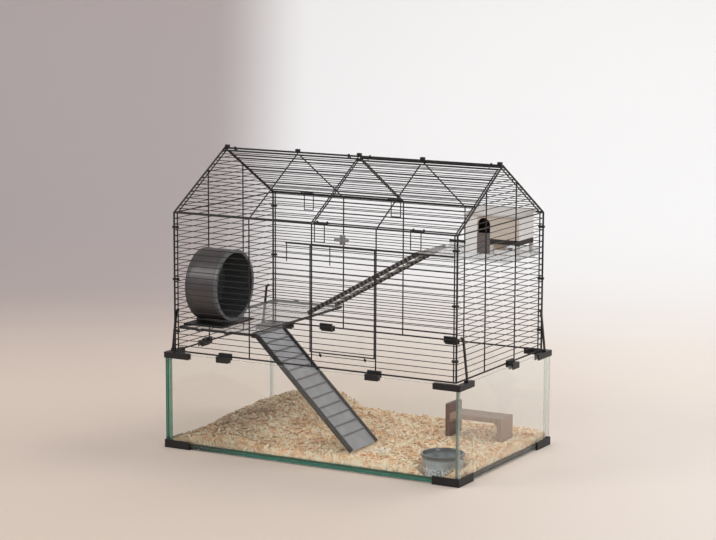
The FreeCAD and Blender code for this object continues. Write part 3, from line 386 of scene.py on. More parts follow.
def ramp_plastic(tint, dark, pivot, low, high):
    """Blue-grey deck with the tops of its cleats darkened as painted shade, between dark side rails."""
    f = Finish("blue_grey_ramp_plastic")
    x, y, z = f.axes()
    above = (x - pivot.x) * math.sin(RAMP_SLOPE) + (z - pivot.z) * math.cos(RAMP_SLOPE)
    cleat_shade = above.between(RAMP_BOARD + 0.5 * MM, RAMP_BOARD + 1.3 * MM)
    cloud, grit = f.mottle(42.0, 4.0, 0.6), f.mottle(1000.0, 3.0, 0.6)
    base = f.tint(cloud.between(0.35, 0.75), lighter(tint, 0.86), lighter(tint, 1.12))
    # Painted shade: the tops of the cleats are darkened to give the dark bands of the cleats' shadows
    base = f.tint(cleat_shade * 0.7, base, lighter(dark, 2.0))
    base = f.tint(rails(y, low, high), base, dark)
    return f.done(f.shaded(base, 0.46 + 0.1 * cloud, f.bump(grit, 0.25, 0.07 * MM)))


def ladder_plastic(tint, dark, pivot, low, high):
    """Brown-grey rungs between side rails that are dark, with lighter bands at the pitch of the rungs."""
    f = Finish("ladder_plastic")
    x, y, z = f.axes()
    down = (pivot.x - x) * math.cos(LADDER_SLOPE) + (pivot.z - z) * math.sin(LADDER_SLOPE)
    rung_pitch = 9.5 * MM
    band = (down * (2 * math.pi / rung_pitch)).sine().between(-0.2, 0.7)
    cloud, grit = f.mottle(60.0, 4.0, 0.6), f.mottle(1000.0, 3.0, 0.6)
    base = f.tint(cloud.between(0.35, 0.75), lighter(tint, 0.8), lighter(tint, 1.3))
    base = f.tint(rails(y, low, high), base, f.tint(band * 0.6, dark, tint))
    return f.done(f.shaded(base, 0.45 + 0.1 * cloud, f.bump(grit, 0.25, 0.07 * MM)))


def drawn_steel():
    """Bright steel with fine lines along it."""
    f = Finish("drawn_steel")
    draw = f.mottle(1.0, 3.0, place=f.stretched((60.0, 2500.0, 2500.0)))
    base = f.tint(draw, (0.46, 0.46, 0.48), (0.66, 0.66, 0.68))
    return f.done(f.shaded(base, 0.22 + 0.2 * draw, f.bump(draw, 0.2, 0.03 * MM), Metallic=1.0))


def boards(name, tint, along, contrast, rough, zones=lambda x, y, z: ()):
    """Planed board: long grain, fine pores, and other colours where the zones say."""
    f = Finish(name)
    long_grain = tuple(9.0 if axis == along else 190.0 for axis in (X, Y, Z))
    pore_scale = tuple(60.0 if axis == along else 1500.0 for axis in (X, Y, Z))
    grain = f.mottle(1.0, 4.0, 0.6, f.stretched(long_grain), 0.6)
    pores = f.mottle(1.0, 2.0, 0.5, f.stretched(pore_scale))
    veins = grain.between(0.3, 0.72)

    def veined(wood):
        return f.tint(veins, lighter(wood, 1.0 - contrast), lighter(wood, 1.0 + contrast * 0.6))

    base = veined(tint)
    for inside, other in zones(*f.axes()):
        base = f.tint(inside, base, veined(other))
    base = f.tint(pores.between(0.58, 0.75) * 0.35, base, lighter(tint, 0.4))
    height = grain * 0.6 + pores * 0.4
    return f.done(f.shaded(base, rough + 0.12 * grain, f.bump(height, 0.35, 0.15 * MM)))


def glazed(tint):
    """Glazed stoneware: speckles, pale flecks low down that are painted highlight, and glaze that is darker near
    the rim.
    """
    f = Finish("glazed_stoneware")
    z = f.axes()[Z]
    darker_near_rim_heights, low_highlight_heights = (37 * MM, 44 * MM), (22 * MM, 34 * MM)
    speck, cloud = f.mottle(300.0, 2.0), f.mottle(30.0, 4.0, 0.6)
    darker_near_rim = (z + 4 * MM * cloud).between(*darker_near_rim_heights)
    low_highlight = 1.0 - (z + 8 * MM * cloud).between(*low_highlight_heights)
    base = f.tint(cloud.between(0.35, 0.7), lighter(tint, 0.8), lighter(tint, 1.5))
    # Painted highlight: pale flecks on the lower part of the bowl
    base = f.tint(low_highlight * speck.between(0.49, 0.55), base, (0.80, 0.82, 0.80))
    # Darker towards the rim
    base = f.tint(darker_near_rim, base, lighter(tint, 0.2))
    base = f.tint(speck.between(0.68, 0.74), base, lighter(tint, 0.3))
    return f.done(f.shaded(base, 0.12 + 0.12 * cloud, f.bump(cloud, 0.12, 0.3 * MM), Coat_Weight=0.6,
                           Coat_Roughness=0.08))


# Making pieces

def node_body(node):
    """The body that a CAD node rides on."""
    bodies = frame["record"]["behaviour"]["bodies"]
    return next(body for body, members in bodies.items() if node in members)


def mesh_of(name, bm):
    """Turns a bmesh into a mesh."""
    mesh = bpy.data.meshes.new(name)
    bm.to_mesh(mesh)
    bm.free()
    return mesh


def added(name, data):
    """A new object in the scene."""
    made = bpy.data.objects.new(name, data)
    bpy.context.scene.collection.objects.link(made)
    return made


def piece(name, bm, finishes, node, smooth=True):
    """Turns a bmesh into a finished piece that stands for a CAD node."""
    mesh = mesh_of(name, bm)
    for finish in finishes:
        mesh.materials.append(finish)
    if smooth:
        mesh.shade_smooth()
        mesh.set_sharp_from_angle(angle=math.radians(40))
    made = added(name, mesh)
    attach(made, node_body(node))
    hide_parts(node)
    return made


def even_shading(made):
    """Keeps flat faces flat beside their rounded edges."""
    made.data.shade_smooth()
    made.modifiers.new("even_shading", "WEIGHTED_NORMAL").weight = 60


def refinish(node, finish):
    """A CAD node whose shape is right gets a better material."""
    for material_slot in frame["nodes"][node].material_slots:
        material_slot.material = finish


def merged(node):
    """A bmesh copy of a CAD node, its triangles joined into whole faces."""
    bm = bmesh.new()
    bm.from_mesh(frame["nodes"][node].data)
    bmesh.ops.remove_doubles(bm, verts=bm.verts, dist=0.002 * MM)
    bmesh.ops.dissolve_limit(bm, angle_limit=math.radians(1.5), verts=bm.verts, edges=bm.edges)
    for face in bm.faces:
        face.material_index = 0
    return bm


def of_kind(geometry, kind):
    """The items of one kind that an operator gives back."""
    return [item for item in geometry if isinstance(item, kind)]


def bevel(bm, geometry, offset, segments, affect="EDGES"):
    """Rounds edges, or the corners of an outline."""
    bmesh.ops.bevel(bm, geom=geometry, offset=offset, offset_type="OFFSET", affect=affect,
                    segments=segments, profile=0.5, material=-1, clamp_overlap=True)


def rounded_part(node, finish, radius, segments=2, sides=None):
    """A moulded or planed part: the CAD shape with rounded edges, and another finish on its sides."""
    bm = merged(node)
    finishes = [finish]
    if sides is not None:
        finishes.append(sides)
        for face in bm.faces:
            face.material_index = int(abs(face.normal.z) < 0.5)
    sharp = math.radians(32)
    edges = [edge for edge in bm.edges if edge.is_manifold and edge.calc_face_angle(0.0) > sharp]
    bevel(bm, edges, radius, segments)
    even_shading(piece(f"{node}_finished", bm, finishes, node))


def turned(bm, outline, centre, axis, steps, rounding, segments):
    """Spins a closed outline of (along, radius) points, with its corners rounded, about an axis."""
    side = Vector((0, 0, 1)) if abs(axis.z) < 0.5 else Vector((1, 0, 0))
    points = [bm.verts.new(centre + axis * along + side * radius) for along, radius in outline]
    for start, end in zip(points, points[1:] + points[:1]):
        bm.edges.new((start, end))
    bevel(bm, points, rounding, segments, "VERTICES")
    bmesh.ops.spin(bm, geom=[*bm.verts, *bm.edges], cent=centre, axis=axis, angle=2 * math.pi,
                   steps=steps, use_merge=True)


def block(bm, low, high, place=Matrix()):
    """A box between two corners, moved by the place matrix."""
    low, high = Vector(low), Vector(high)
    size = Matrix.Diagonal((*(high - low), 1.0))
    made = bmesh.ops.create_cube(bm, size=1.0, matrix=place @ Matrix.Translation((low + high) / 2) @ size)
    return made["verts"]


def ring_of_blocks(bm, count, low, high, centre, rounding, segments):
    """Blocks with rounded edges in a ring about the X axis through centre."""
    for number in range(count):
        turn = Matrix.Translation(centre) @ Matrix.Rotation(2 * math.pi * number / count, 4, "X")
        verts = block(bm, low, high, turn)
        edges = dict.fromkeys(edge for vert in verts for edge in vert.link_edges)
        bevel(bm, list(edges), rounding, segments)


# Operators

class CAGE_OT_glass_base(bpy.types.Operator):
    """Five float glass panes and the silicone between them"""

    bl_idname = "cage.glass_base"
    bl_label = "Glass base"

    def execute(self, context):
        tint = tuple(context.scene.cage_colours.glass_edge)
        finishes = [clear_glass(), glass_edge("deep_glass_edge", tint, cover=0.93),
                    glass_edge("olive_glass_edge", (0.009, 0.012, 0.008), cover=0.98, gleam=0.12),
                    glass_edge("pale_glass_edge", (0.26, 0.32, 0.29), cover=0.45)]
        clear, deep, olive, pale = range(4)
        tinted = {("glass_floor", X, 1): olive, ("glass_floor", Y, -1): deep, ("glass_floor", X, -1): deep,
                  ("glass_floor", Y, 1): olive, ("glass_left", Y, -1): deep, ("glass_front", X, -1): deep}
        for node in ("glass_floor", "glass_left", "glass_right", "glass_front", "glass_back"):
            low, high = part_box(node)
            thin = min((X, Y, Z), key=lambda axis: high[axis] - low[axis])
            bm = bmesh.new()
            block(bm, low, high)
            for face in bm.faces:
                face.normal_update()
                axis = max((X, Y, Z), key=lambda number: abs(face.normal[number]))
                side = round(face.normal[axis])
                face.material_index = clear if axis == thin else tinted.get((node, axis, side), pale)
            bevel(bm, bm.edges[:], context.scene.cage_sizes.arris, 2)
            even_shading(piece(node.replace("glass", "pane"), bm, finishes, node))
        rounded_part("silicone_seams", clear_silicone(*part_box("silicone_seams")), 0.5 * MM)
        return {"FINISHED"}


class CAGE_OT_corner_guards(bpy.types.Operator):
    """Black feet under the base and black caps on its rim"""

    bl_idname = "cage.corner_guards"
    bl_label = "Feet and caps"

    def execute(self, context):
        black = moulded_plastic("black_corner_plastic", tuple(context.scene.cage_colours.plastic))
        for node in frame["nodes"]:
            if node.startswith(("foot_", "cap_")):
                rounded_part(node, black, context.scene.cage_sizes.edge_round)
        return {"FINISHED"}


class CAGE_OT_wire_house(bpy.types.Operator):
    """Welded wire walls, roof, lids, latches and door"""

    bl_idname = "cage.wire_house"
    bl_label = "Wire house"

    def execute(self, context):
        coat = powder_coat("black_powder_coat", tuple(context.scene.cage_colours.wire))
        for node in frame["nodes"]:
            if node.startswith(("wall_", "gable_", "roof_", "latch_", "ridge_rail", "front_door")):
                refinish(node, coat)
        return {"FINISHED"}


class CAGE_OT_fittings(bpy.types.Operator):
    """Ridge knobs, corner ties, rim clips, side clamps and the door's catch"""

    bl_idname = "cage.fittings"
    bl_label = "Fittings"

    def execute(self, context):
        rough, grain, tint = 0.36, 1100.0, tuple(context.scene.cage_colours.plastic)
        black = moulded_plastic("black_fitting_plastic", tint, rough, grain)
        grey = moulded_plastic("grey_catch_plastic", (0.21, 0.20, 0.195), rough, grain, 1.3)
        for node in frame["nodes"]:
            if node.startswith(("rim_clip_", "clamp_", "ridge_knobs", "corner_ties")):
                rounded_part(node, black, context.scene.cage_sizes.edge_round)
            elif node.startswith("door_"):
                rounded_part(node, grey, context.scene.cage_sizes.edge_round)
        return {"FINISHED"}


class CAGE_OT_shelves(bpy.types.Operator):
    """Lower platform and upper shelf"""

    bl_idname = "cage.shelves"
    bl_label = "Shelves"

    def execute(self, context):
        clear, edge = clear_acrylic(), smoked_edge(tuple(context.scene.cage_colours.shelf))
        for node in ("lower_platform", "upper_shelf"):
            rounded_part(node, clear, 0.5 * MM, sides=edge)
        return {"FINISHED"}


class CAGE_OT_ramps(bpy.types.Operator):
    """Cleated ramp to the bedding and ladder to the shelf"""

    bl_idname = "cage.ramps"
    bl_label = "Ramps"

    def execute(self, context):
        colours = context.scene.cage_colours
        dark = lighter(tuple(colours.shelf), 0.9)
        pivots = {joint["name"]: Vector(joint["pos_m"]) for joint in frame["joints"] if "pos_m" in joint}
        deck = ramp_plastic(tuple(colours.ramp), dark, pivots["ramp_lift"], *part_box("lower_ramp"))
        rounded_part("lower_ramp", deck, 0.4 * MM)
        rungs = ladder_plastic(tuple(colours.ladder), dark, pivots["ladder_lift"], *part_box("upper_ladder"))
        rounded_part("upper_ladder", rungs, 0.4 * MM)
        return {"FINISHED"}


class CAGE_OT_wheel(bpy.types.Operator):
    """Running wheel, its stand and its axle"""

    bl_idname = "cage.wheel"
    bl_label = "Running wheel"

    def execute(self, context):
        colours = context.scene.cage_colours
        low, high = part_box("wheel_drum")
        centre = Vector((low.x, (low.y + high.y) / 2, (low.z + high.z) / 2))
        outer, depth = (high.z - low.z) / 2, high.x - low.x
        wall, lip, bead, bore, hub, hub_long = 2.5 * MM, 6 * MM, 0.8 * MM, 3.05 * MM, 8 * MM, 12 * MM
        band, band_slope, dish, dish_slope = 5 * MM, 0.6 * MM, 1.2 * MM, 1.5 * MM
        dish_inner, dish_outer = 20 * MM, 45.5 * MM
        belly, inner = outer - bead, outer - wall - bead
        outline = [
            (0.0, bore), (0.0, dish_inner), (dish, dish_inner + dish_slope), (dish, dish_outer - dish_slope),
            (0.0, dish_outer), (0.0, outer), (band, outer), (band + band_slope, belly),
            (depth - band - band_slope, belly), (depth - band, outer), (depth, outer), (depth, outer - lip),
            (depth - wall, outer - lip), (depth - wall, inner), (wall + dish, inner),
            (wall + dish, hub + 1.5 * MM), (wall + 2 * MM, hub), (hub_long, hub), (hub_long, bore)]
        bm = bmesh.new()
        turned(bm, outline, centre, Vector((1, 0, 0)), steps=128, rounding=0.35 * MM, segments=2)
        bmesh.ops.recalc_face_normals(bm, faces=bm.faces)
        treads, tread_half, ribs, rib_half = 60, 0.8 * MM, 8, 1.6 * MM
        ring_of_blocks(bm, treads, (wall, -tread_half, inner - 1.3 * MM),
                       (depth - wall, tread_half, inner + 0.6 * MM), centre, 0.5 * MM, 1)
        ring_of_blocks(bm, ribs, (wall + 0.4 * MM, -rib_half, hub + 0.5 * MM),
                       (wall + 2.6 * MM, rib_half, inner), centre, 0.7 * MM, 2)
        smoky = wheel_plastic(tuple(colours.wheel), centre, outer, depth)
        even_shading(piece("wheel_drum_finished", bm, [smoky], "wheel_drum"))
        black = moulded_plastic("black_stand_plastic", tuple(colours.plastic))
        rounded_part("wheel_stand", black, 0.6 * MM)
        rounded_part("wheel_axle_cap", black, 0.4 * MM)
        refinish("wheel_axle", drawn_steel())
        return {"FINISHED"}


class CAGE_OT_hut(bpy.types.Operator):
    """Board hut on the shelf"""

    bl_idname = "cage.hut"
    bl_label = "Hut"

    def execute(self, context):
        colours = context.scene.cage_colours
        low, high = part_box("hut_walls")
        board, floor, sill = 4.9 * MM, low.z + 19 * MM, low.z + 37 * MM
        entrance = low.x + 23 * MM
        entrance_end = entrance + 26 * MM

        def zones(x, y, z):
            front, beside, above = y < low.y + board, x > entrance_end, z > floor
            across = (x > low.x + board) * (x < high.x - board)
            deep = (y > low.y + board) * (y < high.y - board)
            # Dark base rail along the bottom of the front and right side, partly painted shade
            dark_rail_and_shade = beside * (z < floor + 9 * MM) * front.most(x > high.x - 5 * MM)
            return ((front * (x < entrance), tuple(colours.hut_front)),
                    # Painted shade: darker below the entrance
                    (front * (x > entrance) * (x < entrance_end) * (z < sill), (0.15, 0.125, 0.12)),
                    # Painted shade inside the hut
                    (across * deep * above, (0.16, 0.085, 0.060)),
                    # Painted light on the hut's right side
                    (above * (x > high.x - 0.6 * MM), (0.86, 0.84, 0.82)),
                    (dark_rail_and_shade, (0.022, 0.018, 0.016)),
                    (beside * (z < floor - 1 * MM), (0.62, 0.60, 0.58)))

        walls = boards("hut_boards", tuple(colours.hut_side), X, 0.10, 0.55, zones)
        rounded_part("hut_walls", walls, 0.5 * MM)
        rounded_part("hut_roof", boards("hut_roof_board", (0.60, 0.56, 0.52), X, 0.14, 0.55), 0.7 * MM)
        return {"FINISHED"}


class CAGE_OT_hide(bpy.types.Operator):
    """Wooden arch hide"""

    bl_idname = "cage.hide"
    bl_label = "Arch hide"

    def execute(self, context):
        low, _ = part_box("wood_hide")
        # Painted shade: the left end board is darker than the rest of the plywood
        shaded_board_end = low.x + 9.2 * MM
        plywood = boards("oiled_plywood", tuple(context.scene.cage_colours.hide), Z, 0.22, 0.5,
                         lambda x, y, z: ((x < shaded_board_end, (0.13, 0.055, 0.040)),))
        rounded_part("wood_hide", plywood, 0.9 * MM, 3)
        return {"FINISHED"}


class CAGE_OT_bowl(bpy.types.Operator):
    """Glazed food bowl"""

    bl_idname = "cage.bowl"
    bl_label = "Food bowl"

    def execute(self, context):
        low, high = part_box("food_bowl")
        centre = Vector(((low.x + high.x) / 2, (low.y + high.y) / 2, low.z))
        tall, lip, near_axis = (high.z - low.z) / MM, (high.x - low.x) / 2 / MM, 0.1
        profile = (
            (1.2, near_axis), (1.2, 28.5), (0.0, 30.0), (0.0, 33.2), (2.5, 34.4), (5.0, 34.0),
            (tall * 0.45, 36.2), (tall * 0.82, 37.6), (tall - 3.6, lip), (tall, lip), (tall, lip - 3.4),
            (tall * 0.8, 34.4), (tall * 0.42, 32.6), (9.0, 29.5), (5.2, 22.0), (4.2, near_axis))
        bm = bmesh.new()
        turned(bm, [(height * MM, radius * MM) for height, radius in profile], centre, Vector((0, 0, 1)),
               steps=96, rounding=1.1 * MM, segments=3)
        bmesh.ops.remove_doubles(bm, verts=bm.verts, dist=0.25 * MM)
        bmesh.ops.recalc_face_normals(bm, faces=bm.faces)
        piece("food_bowl_finished", bm, [glazed(tuple(context.scene.cage_colours.bowl))], "food_bowl")
        return {"FINISHED"}


# Shavings

# Corners of the heap's profile in millimetres: place in x, height
HEAP = ((-291, 14), (-241, 44), (-160, 63), (-118, 44), (-78, 26), (291, 26))
# Mounds in millimetres: place in x and y, level of the bed there, height over it
MOUNDS = ((-90, 60, 24, 14), (-70, -60, 24, 10), (-20, 20, 24, 9), (20, 110, 24, 7), (40, -20, 22, 7),
          (110, 140, 24, 5), (110, 50, 22, 6), (150, -90, 22, 5), (275, 130, 24, 4), (110, -140, 24, 4))
MOUND_RADIUS = 60
BED_LEVEL = 24 * MM
THINNEST = 9 * MM
# A patch of painted shade on the left slope and a patch of painted light right of the ramp: place in x and y and
# reach in metres, strength, colour
SHADE_AND_LIGHT_PATCHES = ((-0.195, -0.075, 0.075, 0.55, (0.36, 0.23, 0.145)),
           (0.108, -0.108, 0.040, 0.40, (0.86, 0.83, 0.78)))
# Place of the bowl, and reach of the space around it, in metres
BOWL_X, BOWL_Y, BOWL_REACH = 0.246, -0.139, 0.0405
# Spans in x and y of the ramp's foot and of the hide's legs, in metres
FOOTPRINTS = ((0.050, 0.080, -0.158, -0.064), (0.153, 0.162, 0.051, 0.100), (0.257, 0.266, 0.051, 0.100))
# Curls in millimetres and degrees: width, radius, turn, pitch, taper
CURLS = ((3.6, 4.2, 150, 0.5, 0.75), (2.6, 3.2, 250, 1.6, 0.8), (4.4, 7.5, 95, 0.0, 0.7),
         (3.2, 12.0, 60, 0.4, 0.85), (2.2, 5.5, 120, -0.8, 0.9), (5.0, 9.0, 70, 0.6, 0.6))


def wood_shavings(name, pale, dark, loose):
    """Mixed sapwood and heartwood; loose shavings have their own tones, packed ones are cells."""
    f = Finish(name)
    patch = f.mottle(13.0, 5.0, 0.62)
    blotch = f.mottle(36.0, 3.0, 0.6).between(0.36, 0.64)
    if loose:
        tone = f.node("ShaderNodeAttribute", {"attribute_name": "tone"}, output="Fac")
        fine, fine_share = f.mottle(330.0, 3.0, 0.7), 0.16
    else:
        cells = {"Vector": f.stretched((1.0, 1.0, 1.7), (0.4, 0.3, 0.7)), "Scale": 210.0, "Randomness": 1.0}
        cell_colour = f.node("ShaderNodeTexVoronoi", sockets=cells, output="Color")
        tone = f.node("ShaderNodeSeparateColor", sockets={"Color": cell_colour})
        fine, fine_share = f.node("ShaderNodeTexVoronoi", sockets=cells, output="Distance"), 0.22
    mix = (0.62 * tone + 0.40 * patch + fine_share * fine + 0.22 * blotch - 0.20).between(0.0, 1.0)
    middle = tuple((a + b) / 2 for a, b in zip(pale, dark))
    base = f.ramp(mix, ((0.0, lighter(dark, 0.75)), (0.28, dark), (0.5, middle), (0.72, lighter(pale, 0.92)),
                        (1.0, pale)))
    x, y, _ = f.axes()
    shade = f.tint((x + 0.05 * patch).between(-0.17, -0.02), (0.62, 0.60, 0.57), WHITE)
    base = f.tint(1.0, base, shade, "MULTIPLY")
    # Painted shade and painted light in patches on the heap
    for centre_x, centre_y, reach, cover, other in SHADE_AND_LIGHT_PATCHES:
        across, deep = x - centre_x, y - centre_y
        away = (across * across + deep * deep) ** 0.5 + 0.03 * patch
        base = f.tint((1.0 - away.between(reach * 0.6, reach * 1.3)) * cover, base, other)
    return f.done(f.shaded(base, 0.62 + 0.2 * fine, f.bump(fine, 0.4, 0.15 * MM), Specular_IOR_Level=0.3))


def clamped(value, low=0.0):
    """The value, but no less than low and no more than 1."""
    return min(1.0, max(low, value))


def heap_profile(x):
    """Height of the heap's plain profile."""
    place = x / MM
    for (x0, z0), (x1, z1) in zip(HEAP, HEAP[1:]):
        if place <= x1:
            return (z0 + (z1 - z0) * max(0.0, (place - x0) / (x1 - x0))) * MM
    return HEAP[-1][1] * MM


def heap_height(x, y, lump):
    """Top of the heap: the profile with its corners eased, and mounds and lumps on it."""
    height = sum(heap_profile(x + step * 12 * MM) for step in (-1, 0, 1)) / 3
    for mound_x, mound_y, under, tall in MOUNDS:
        away = math.hypot(x / MM - mound_x, y / MM - mound_y) / MOUND_RADIUS
        if away < 1.0:
            height = max(height, (under + tall + MOUND_RADIUS * (math.sqrt(1.0 - away ** 2) - 1.0)) * MM)
    glass, fall, kept = -0.172, 0.120, 0.25
    front = clamped((y - glass) / fall)
    front = front * front * (3 - 2 * front)
    height = min(height, BED_LEVEL) + max(0.0, height - BED_LEVEL) * (kept + (1 - kept) * front)
    lean_from, lumps_end, fade, lean, calmest, under_curls = -0.21, 0.06, 0.08, 0.055, 0.22, 0.6 * MM
    height += clamped((lean_from - x) / fade) * y * lean
    rise = noise.noise(Vector((x * 21, y * 21, 3.1))) + 0.45 * noise.noise(Vector((x * 55, y * 55, 8.4)))
    calm = clamped((lumps_end - x) / fade, calmest)
    return max(THINNEST, height + lump * rise * calm - under_curls)


def from_bowl(x, y):
    """Distance from the middle of the bowl."""
    return math.hypot(x - BOWL_X, y - BOWL_Y)


def kept_clear(x, y, reach):
    """True within this reach of a piece that stands on or in the bedding."""
    return from_bowl(x, y) < BOWL_REACH + reach or any(
        left - reach < x < right + reach and front - reach < y < back + reach
        for left, right, front, back in FOOTPRINTS)


def heap(low, high, lump):
    """A closed heap over the box, with a well for the bowl."""
    bm = bmesh.new()
    middle, half = (low + high) / 2, (high - low) / 2
    bmesh.ops.create_grid(bm, x_segments=170, y_segments=106, size=1.0, matrix=(
        Matrix.Translation((middle.x, middle.y, 0)) @ Matrix.Diagonal((half.x, half.y, 1.0, 1.0))))
    well, behind_bowl, before_bowl = BOWL_REACH - 3.5 * MM, 4.5 * MM, 16 * MM
    skin, under_feet = 0.5 * MM, 25.6 * MM
    for vert in bm.verts:
        x, y = vert.co.xy
        dip = clamped((from_bowl(x, y) - well) / (behind_bowl if y > BOWL_Y else before_bowl))
        vert.co.z = low.z + max(skin, (heap_height(x, y, lump) - low.z) * dip)
        if kept_clear(x, y, 2 * MM):
            vert.co.z = min(vert.co.z, under_feet)
    hole = [face for face in bm.faces if all(from_bowl(*vert.co.xy) < well for vert in face.verts)]
    bmesh.ops.delete(bm, geom=hole, context="FACES")
    lowered = bmesh.ops.extrude_face_region(bm, geom=bm.faces[:], use_keep_orig=True)
    for vert in of_kind(lowered["geom"], bmesh.types.BMVert):
        vert.co.z = low.z
    bmesh.ops.recalc_face_normals(bm, faces=bm.faces)
    return bm


def shaving_shapes():
    """Small curls: an edge spun round part of a turn and given thickness."""
    shapes = []
    for width, radius, turn, pitch, taper in CURLS:
        bm = bmesh.new()
        ends = [bm.verts.new((0, side * width / 2 * MM, radius * MM)) for side in (-1, 1)]
        line = bm.edges.new(ends)
        bmesh.ops.spin(bm, geom=[*ends, line], cent=(0, 0, 0), axis=(0, 1, 0), dvec=(0, pitch * MM, 0),
                       angle=math.radians(turn), steps=4, use_merge=False)
        level = Matrix.Rotation(math.radians(-turn / 2), 3, "Y")
        bmesh.ops.rotate(bm, cent=(0, 0, 0), matrix=level, verts=bm.verts)
        for vert in bm.verts:
            vert.co.y *= taper if vert.co.x > 0 else 1.0
        bmesh.ops.solidify(bm, geom=bm.faces[:], thickness=0.28 * MM)
        middle = sum((vert.co for vert in bm.verts), Vector()) / len(bm.verts)
        bmesh.ops.translate(bm, vec=-middle, verts=bm.verts)
        bmesh.ops.recalc_face_normals(bm, faces=bm.faces)
        shapes.append(mesh_of("shaving_shape", bm))
    return shapes


def half_turn(chance, share):
    """Half a turn for this share of the shavings, none for the rest."""
    return math.pi if chance.random() < share else 0


def loose_places(chance, sizes, low, high):
    """Shavings that lie on the heap; each place is a matrix, a shape's number and a tone."""
    places = []
    while len(places) < sizes.flake_count:
        x = chance.uniform(low.x + 1 * MM, high.x - 1 * MM)
        y = chance.uniform(low.y + 1 * MM, high.y - 1 * MM)
        if kept_clear(x, y, 6.5 * MM):
            continue
        step = 4 * MM
        rise = heap_height(x + step, y, sizes.lump) - heap_height(x - step, y, sizes.lump)
        size = sizes.flake_scale * chance.uniform(0.65, 1.25)
        z = heap_height(x, y, sizes.lump) + chance.uniform(0.1, 2.6) * MM
        matrix = (Matrix.Translation((x, y, z)) @
                  Matrix.Rotation(-math.atan(rise / (2 * step)), 4, "Y") @
                  Matrix.Rotation(chance.uniform(0, 2 * math.pi), 4, "Z") @
                  Matrix.Rotation(chance.gauss(0, 0.42), 4, "X") @
                  Matrix.Rotation(chance.gauss(0, 0.35) + half_turn(chance, 0.45), 4, "Y") @
                  Matrix.Diagonal((size, size, size * chance.uniform(0.35, 0.8), 1.0)))
        places.append((matrix, chance.randrange(len(CURLS)), chance.betavariate(2.2, 1.7)))
    return places


def pressed_places(chance, sizes, low, high):
    """Shavings that lie flat against the four panes."""
    places = []
    length, width = high.x - low.x, high.y - low.y
    while len(places) < sizes.side_flake_count:
        along = chance.uniform(0, 2 * (length + width))
        out = chance.uniform(0.2, 2.2) * MM
        if along < 2 * length:
            facing = -1 if along < length else 1
            x, y = low.x + along % length, (low.y if facing < 0 else high.y) + facing * out
            if facing < 0 and abs(x - BOWL_X) < BOWL_REACH:
                continue
            lean = "X"
        else:
            along -= 2 * length
            facing = -1 if along < width else 1
            x, y = (low.x if facing < 0 else high.x) + facing * out, low.y + along % width
            lean = "Y"
        top = heap_height(x, y, sizes.lump)
        z = chance.uniform(low.z + 4.5 * MM, max(low.z + 5 * MM, top - 0.5 * MM))
        size = sizes.flake_scale * chance.uniform(0.7, 1.25)
        matrix = (Matrix.Translation((x, y, z)) @ Matrix.Rotation(math.pi / 2, 4, lean) @
                  Matrix.Rotation(chance.uniform(0, 2 * math.pi), 4, "Z") @
                  Matrix.Rotation(chance.gauss(0, 0.08) + half_turn(chance, 0.5), 4, "X") @
                  Matrix.Diagonal((size, size, size * 0.22, 1.0)))
        places.append((matrix, chance.randrange(len(CURLS)), chance.betavariate(2.2, 1.7)))
    return places


def scatter(name, places, shapes, finish):
    """One mesh of many shavings."""
    bm = bmesh.new()
    points, tones = [], []
    for matrix, number, tone in sorted(places, key=lambda entry: entry[1]):
        bm.from_mesh(shapes[number])
        own = numpy.empty(len(shapes[number].vertices) * 3, dtype=numpy.float32)
        shapes[number].vertices.foreach_get("co", own)
        points.append(own.reshape(-1, 3) @ numpy.array(matrix.to_3x3()).T + numpy.array(matrix.translation))
        tones.append(numpy.full(len(points[-1]), tone))
    made = piece(name, bm, [finish], "bedding", smooth=False)
    made.data.vertices.foreach_set("co", numpy.concatenate(points).astype(numpy.float32).ravel())
    tone_layer = made.data.attributes.new("tone", "FLOAT", "POINT")
    tone_layer.data.foreach_set("value", numpy.concatenate(tones).astype(numpy.float32))
    made.data.shade_smooth()
    made.data.set_sharp_from_angle(angle=math.radians(50))
    made.data.update()


class CAGE_OT_shavings(bpy.types.Operator):
    """Heap of wood shavings with loose curls over it"""

    bl_idname = "cage.shavings"
    bl_label = "Shavings"

    def execute(self, context):
        sizes, colours = context.scene.cage_sizes, context.scene.cage_colours
        pale, dark = tuple(colours.shaving_pale), tuple(colours.shaving_dark)
        low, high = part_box("bedding")
        packed = wood_shavings("packed_shavings", pale, dark, False)
        piece("shavings_heap", heap(low, high, sizes.lump), [packed], "bedding")
        chance = random.Random(sizes.seed)
        shapes = shaving_shapes()
        loose = wood_shavings("loose_shavings", pale, dark, True)
        on_top = loose_places(chance, sizes, low, high)
        at_glass = pressed_places(chance, sizes, low, high)
        half = len(on_top) // 2
        scatter("loose_shavings_one", on_top[:half], shapes, loose)
        scatter("loose_shavings_two", on_top[half:], shapes, loose)
        scatter("pressed_shavings", at_glass, shapes, loose)
        return {"FINISHED"}


# Stage, in metres

CAMERA_YAW, CAMERA_PITCH, CAMERA_ROLL = (math.radians(angle) for angle in (29.2242, 9.1198, 0.1994))
CAMERA_PLACE = (2.0526, -3.6725, 1.0027)
CAMERA_LENS, CAMERA_SENSOR = 117.83, 36.0
CAGE_MIDDLE = (0.0, 0.0, 0.25)
SWEEP_HALF, SWEEP_NEAR, SWEEP_BEND, SWEEP_RADIUS, SWEEP_WALL = 7.0, -6.0, 1.6, 1.0, 4.0


def lamp(name, place, power, size, tint):
    """A round soft lamp that points at the cage."""
    light = bpy.data.lights.new(name, "AREA")
    light.energy, light.shape, light.size, light.color = power, "DISK", size, tint
    towards = Vector(CAGE_MIDDLE) - Vector(place)
    added(name, light).matrix_world = (
        Matrix.Translation(place) @ towards.to_track_quat("-Z", "Y").to_matrix().to_4x4())


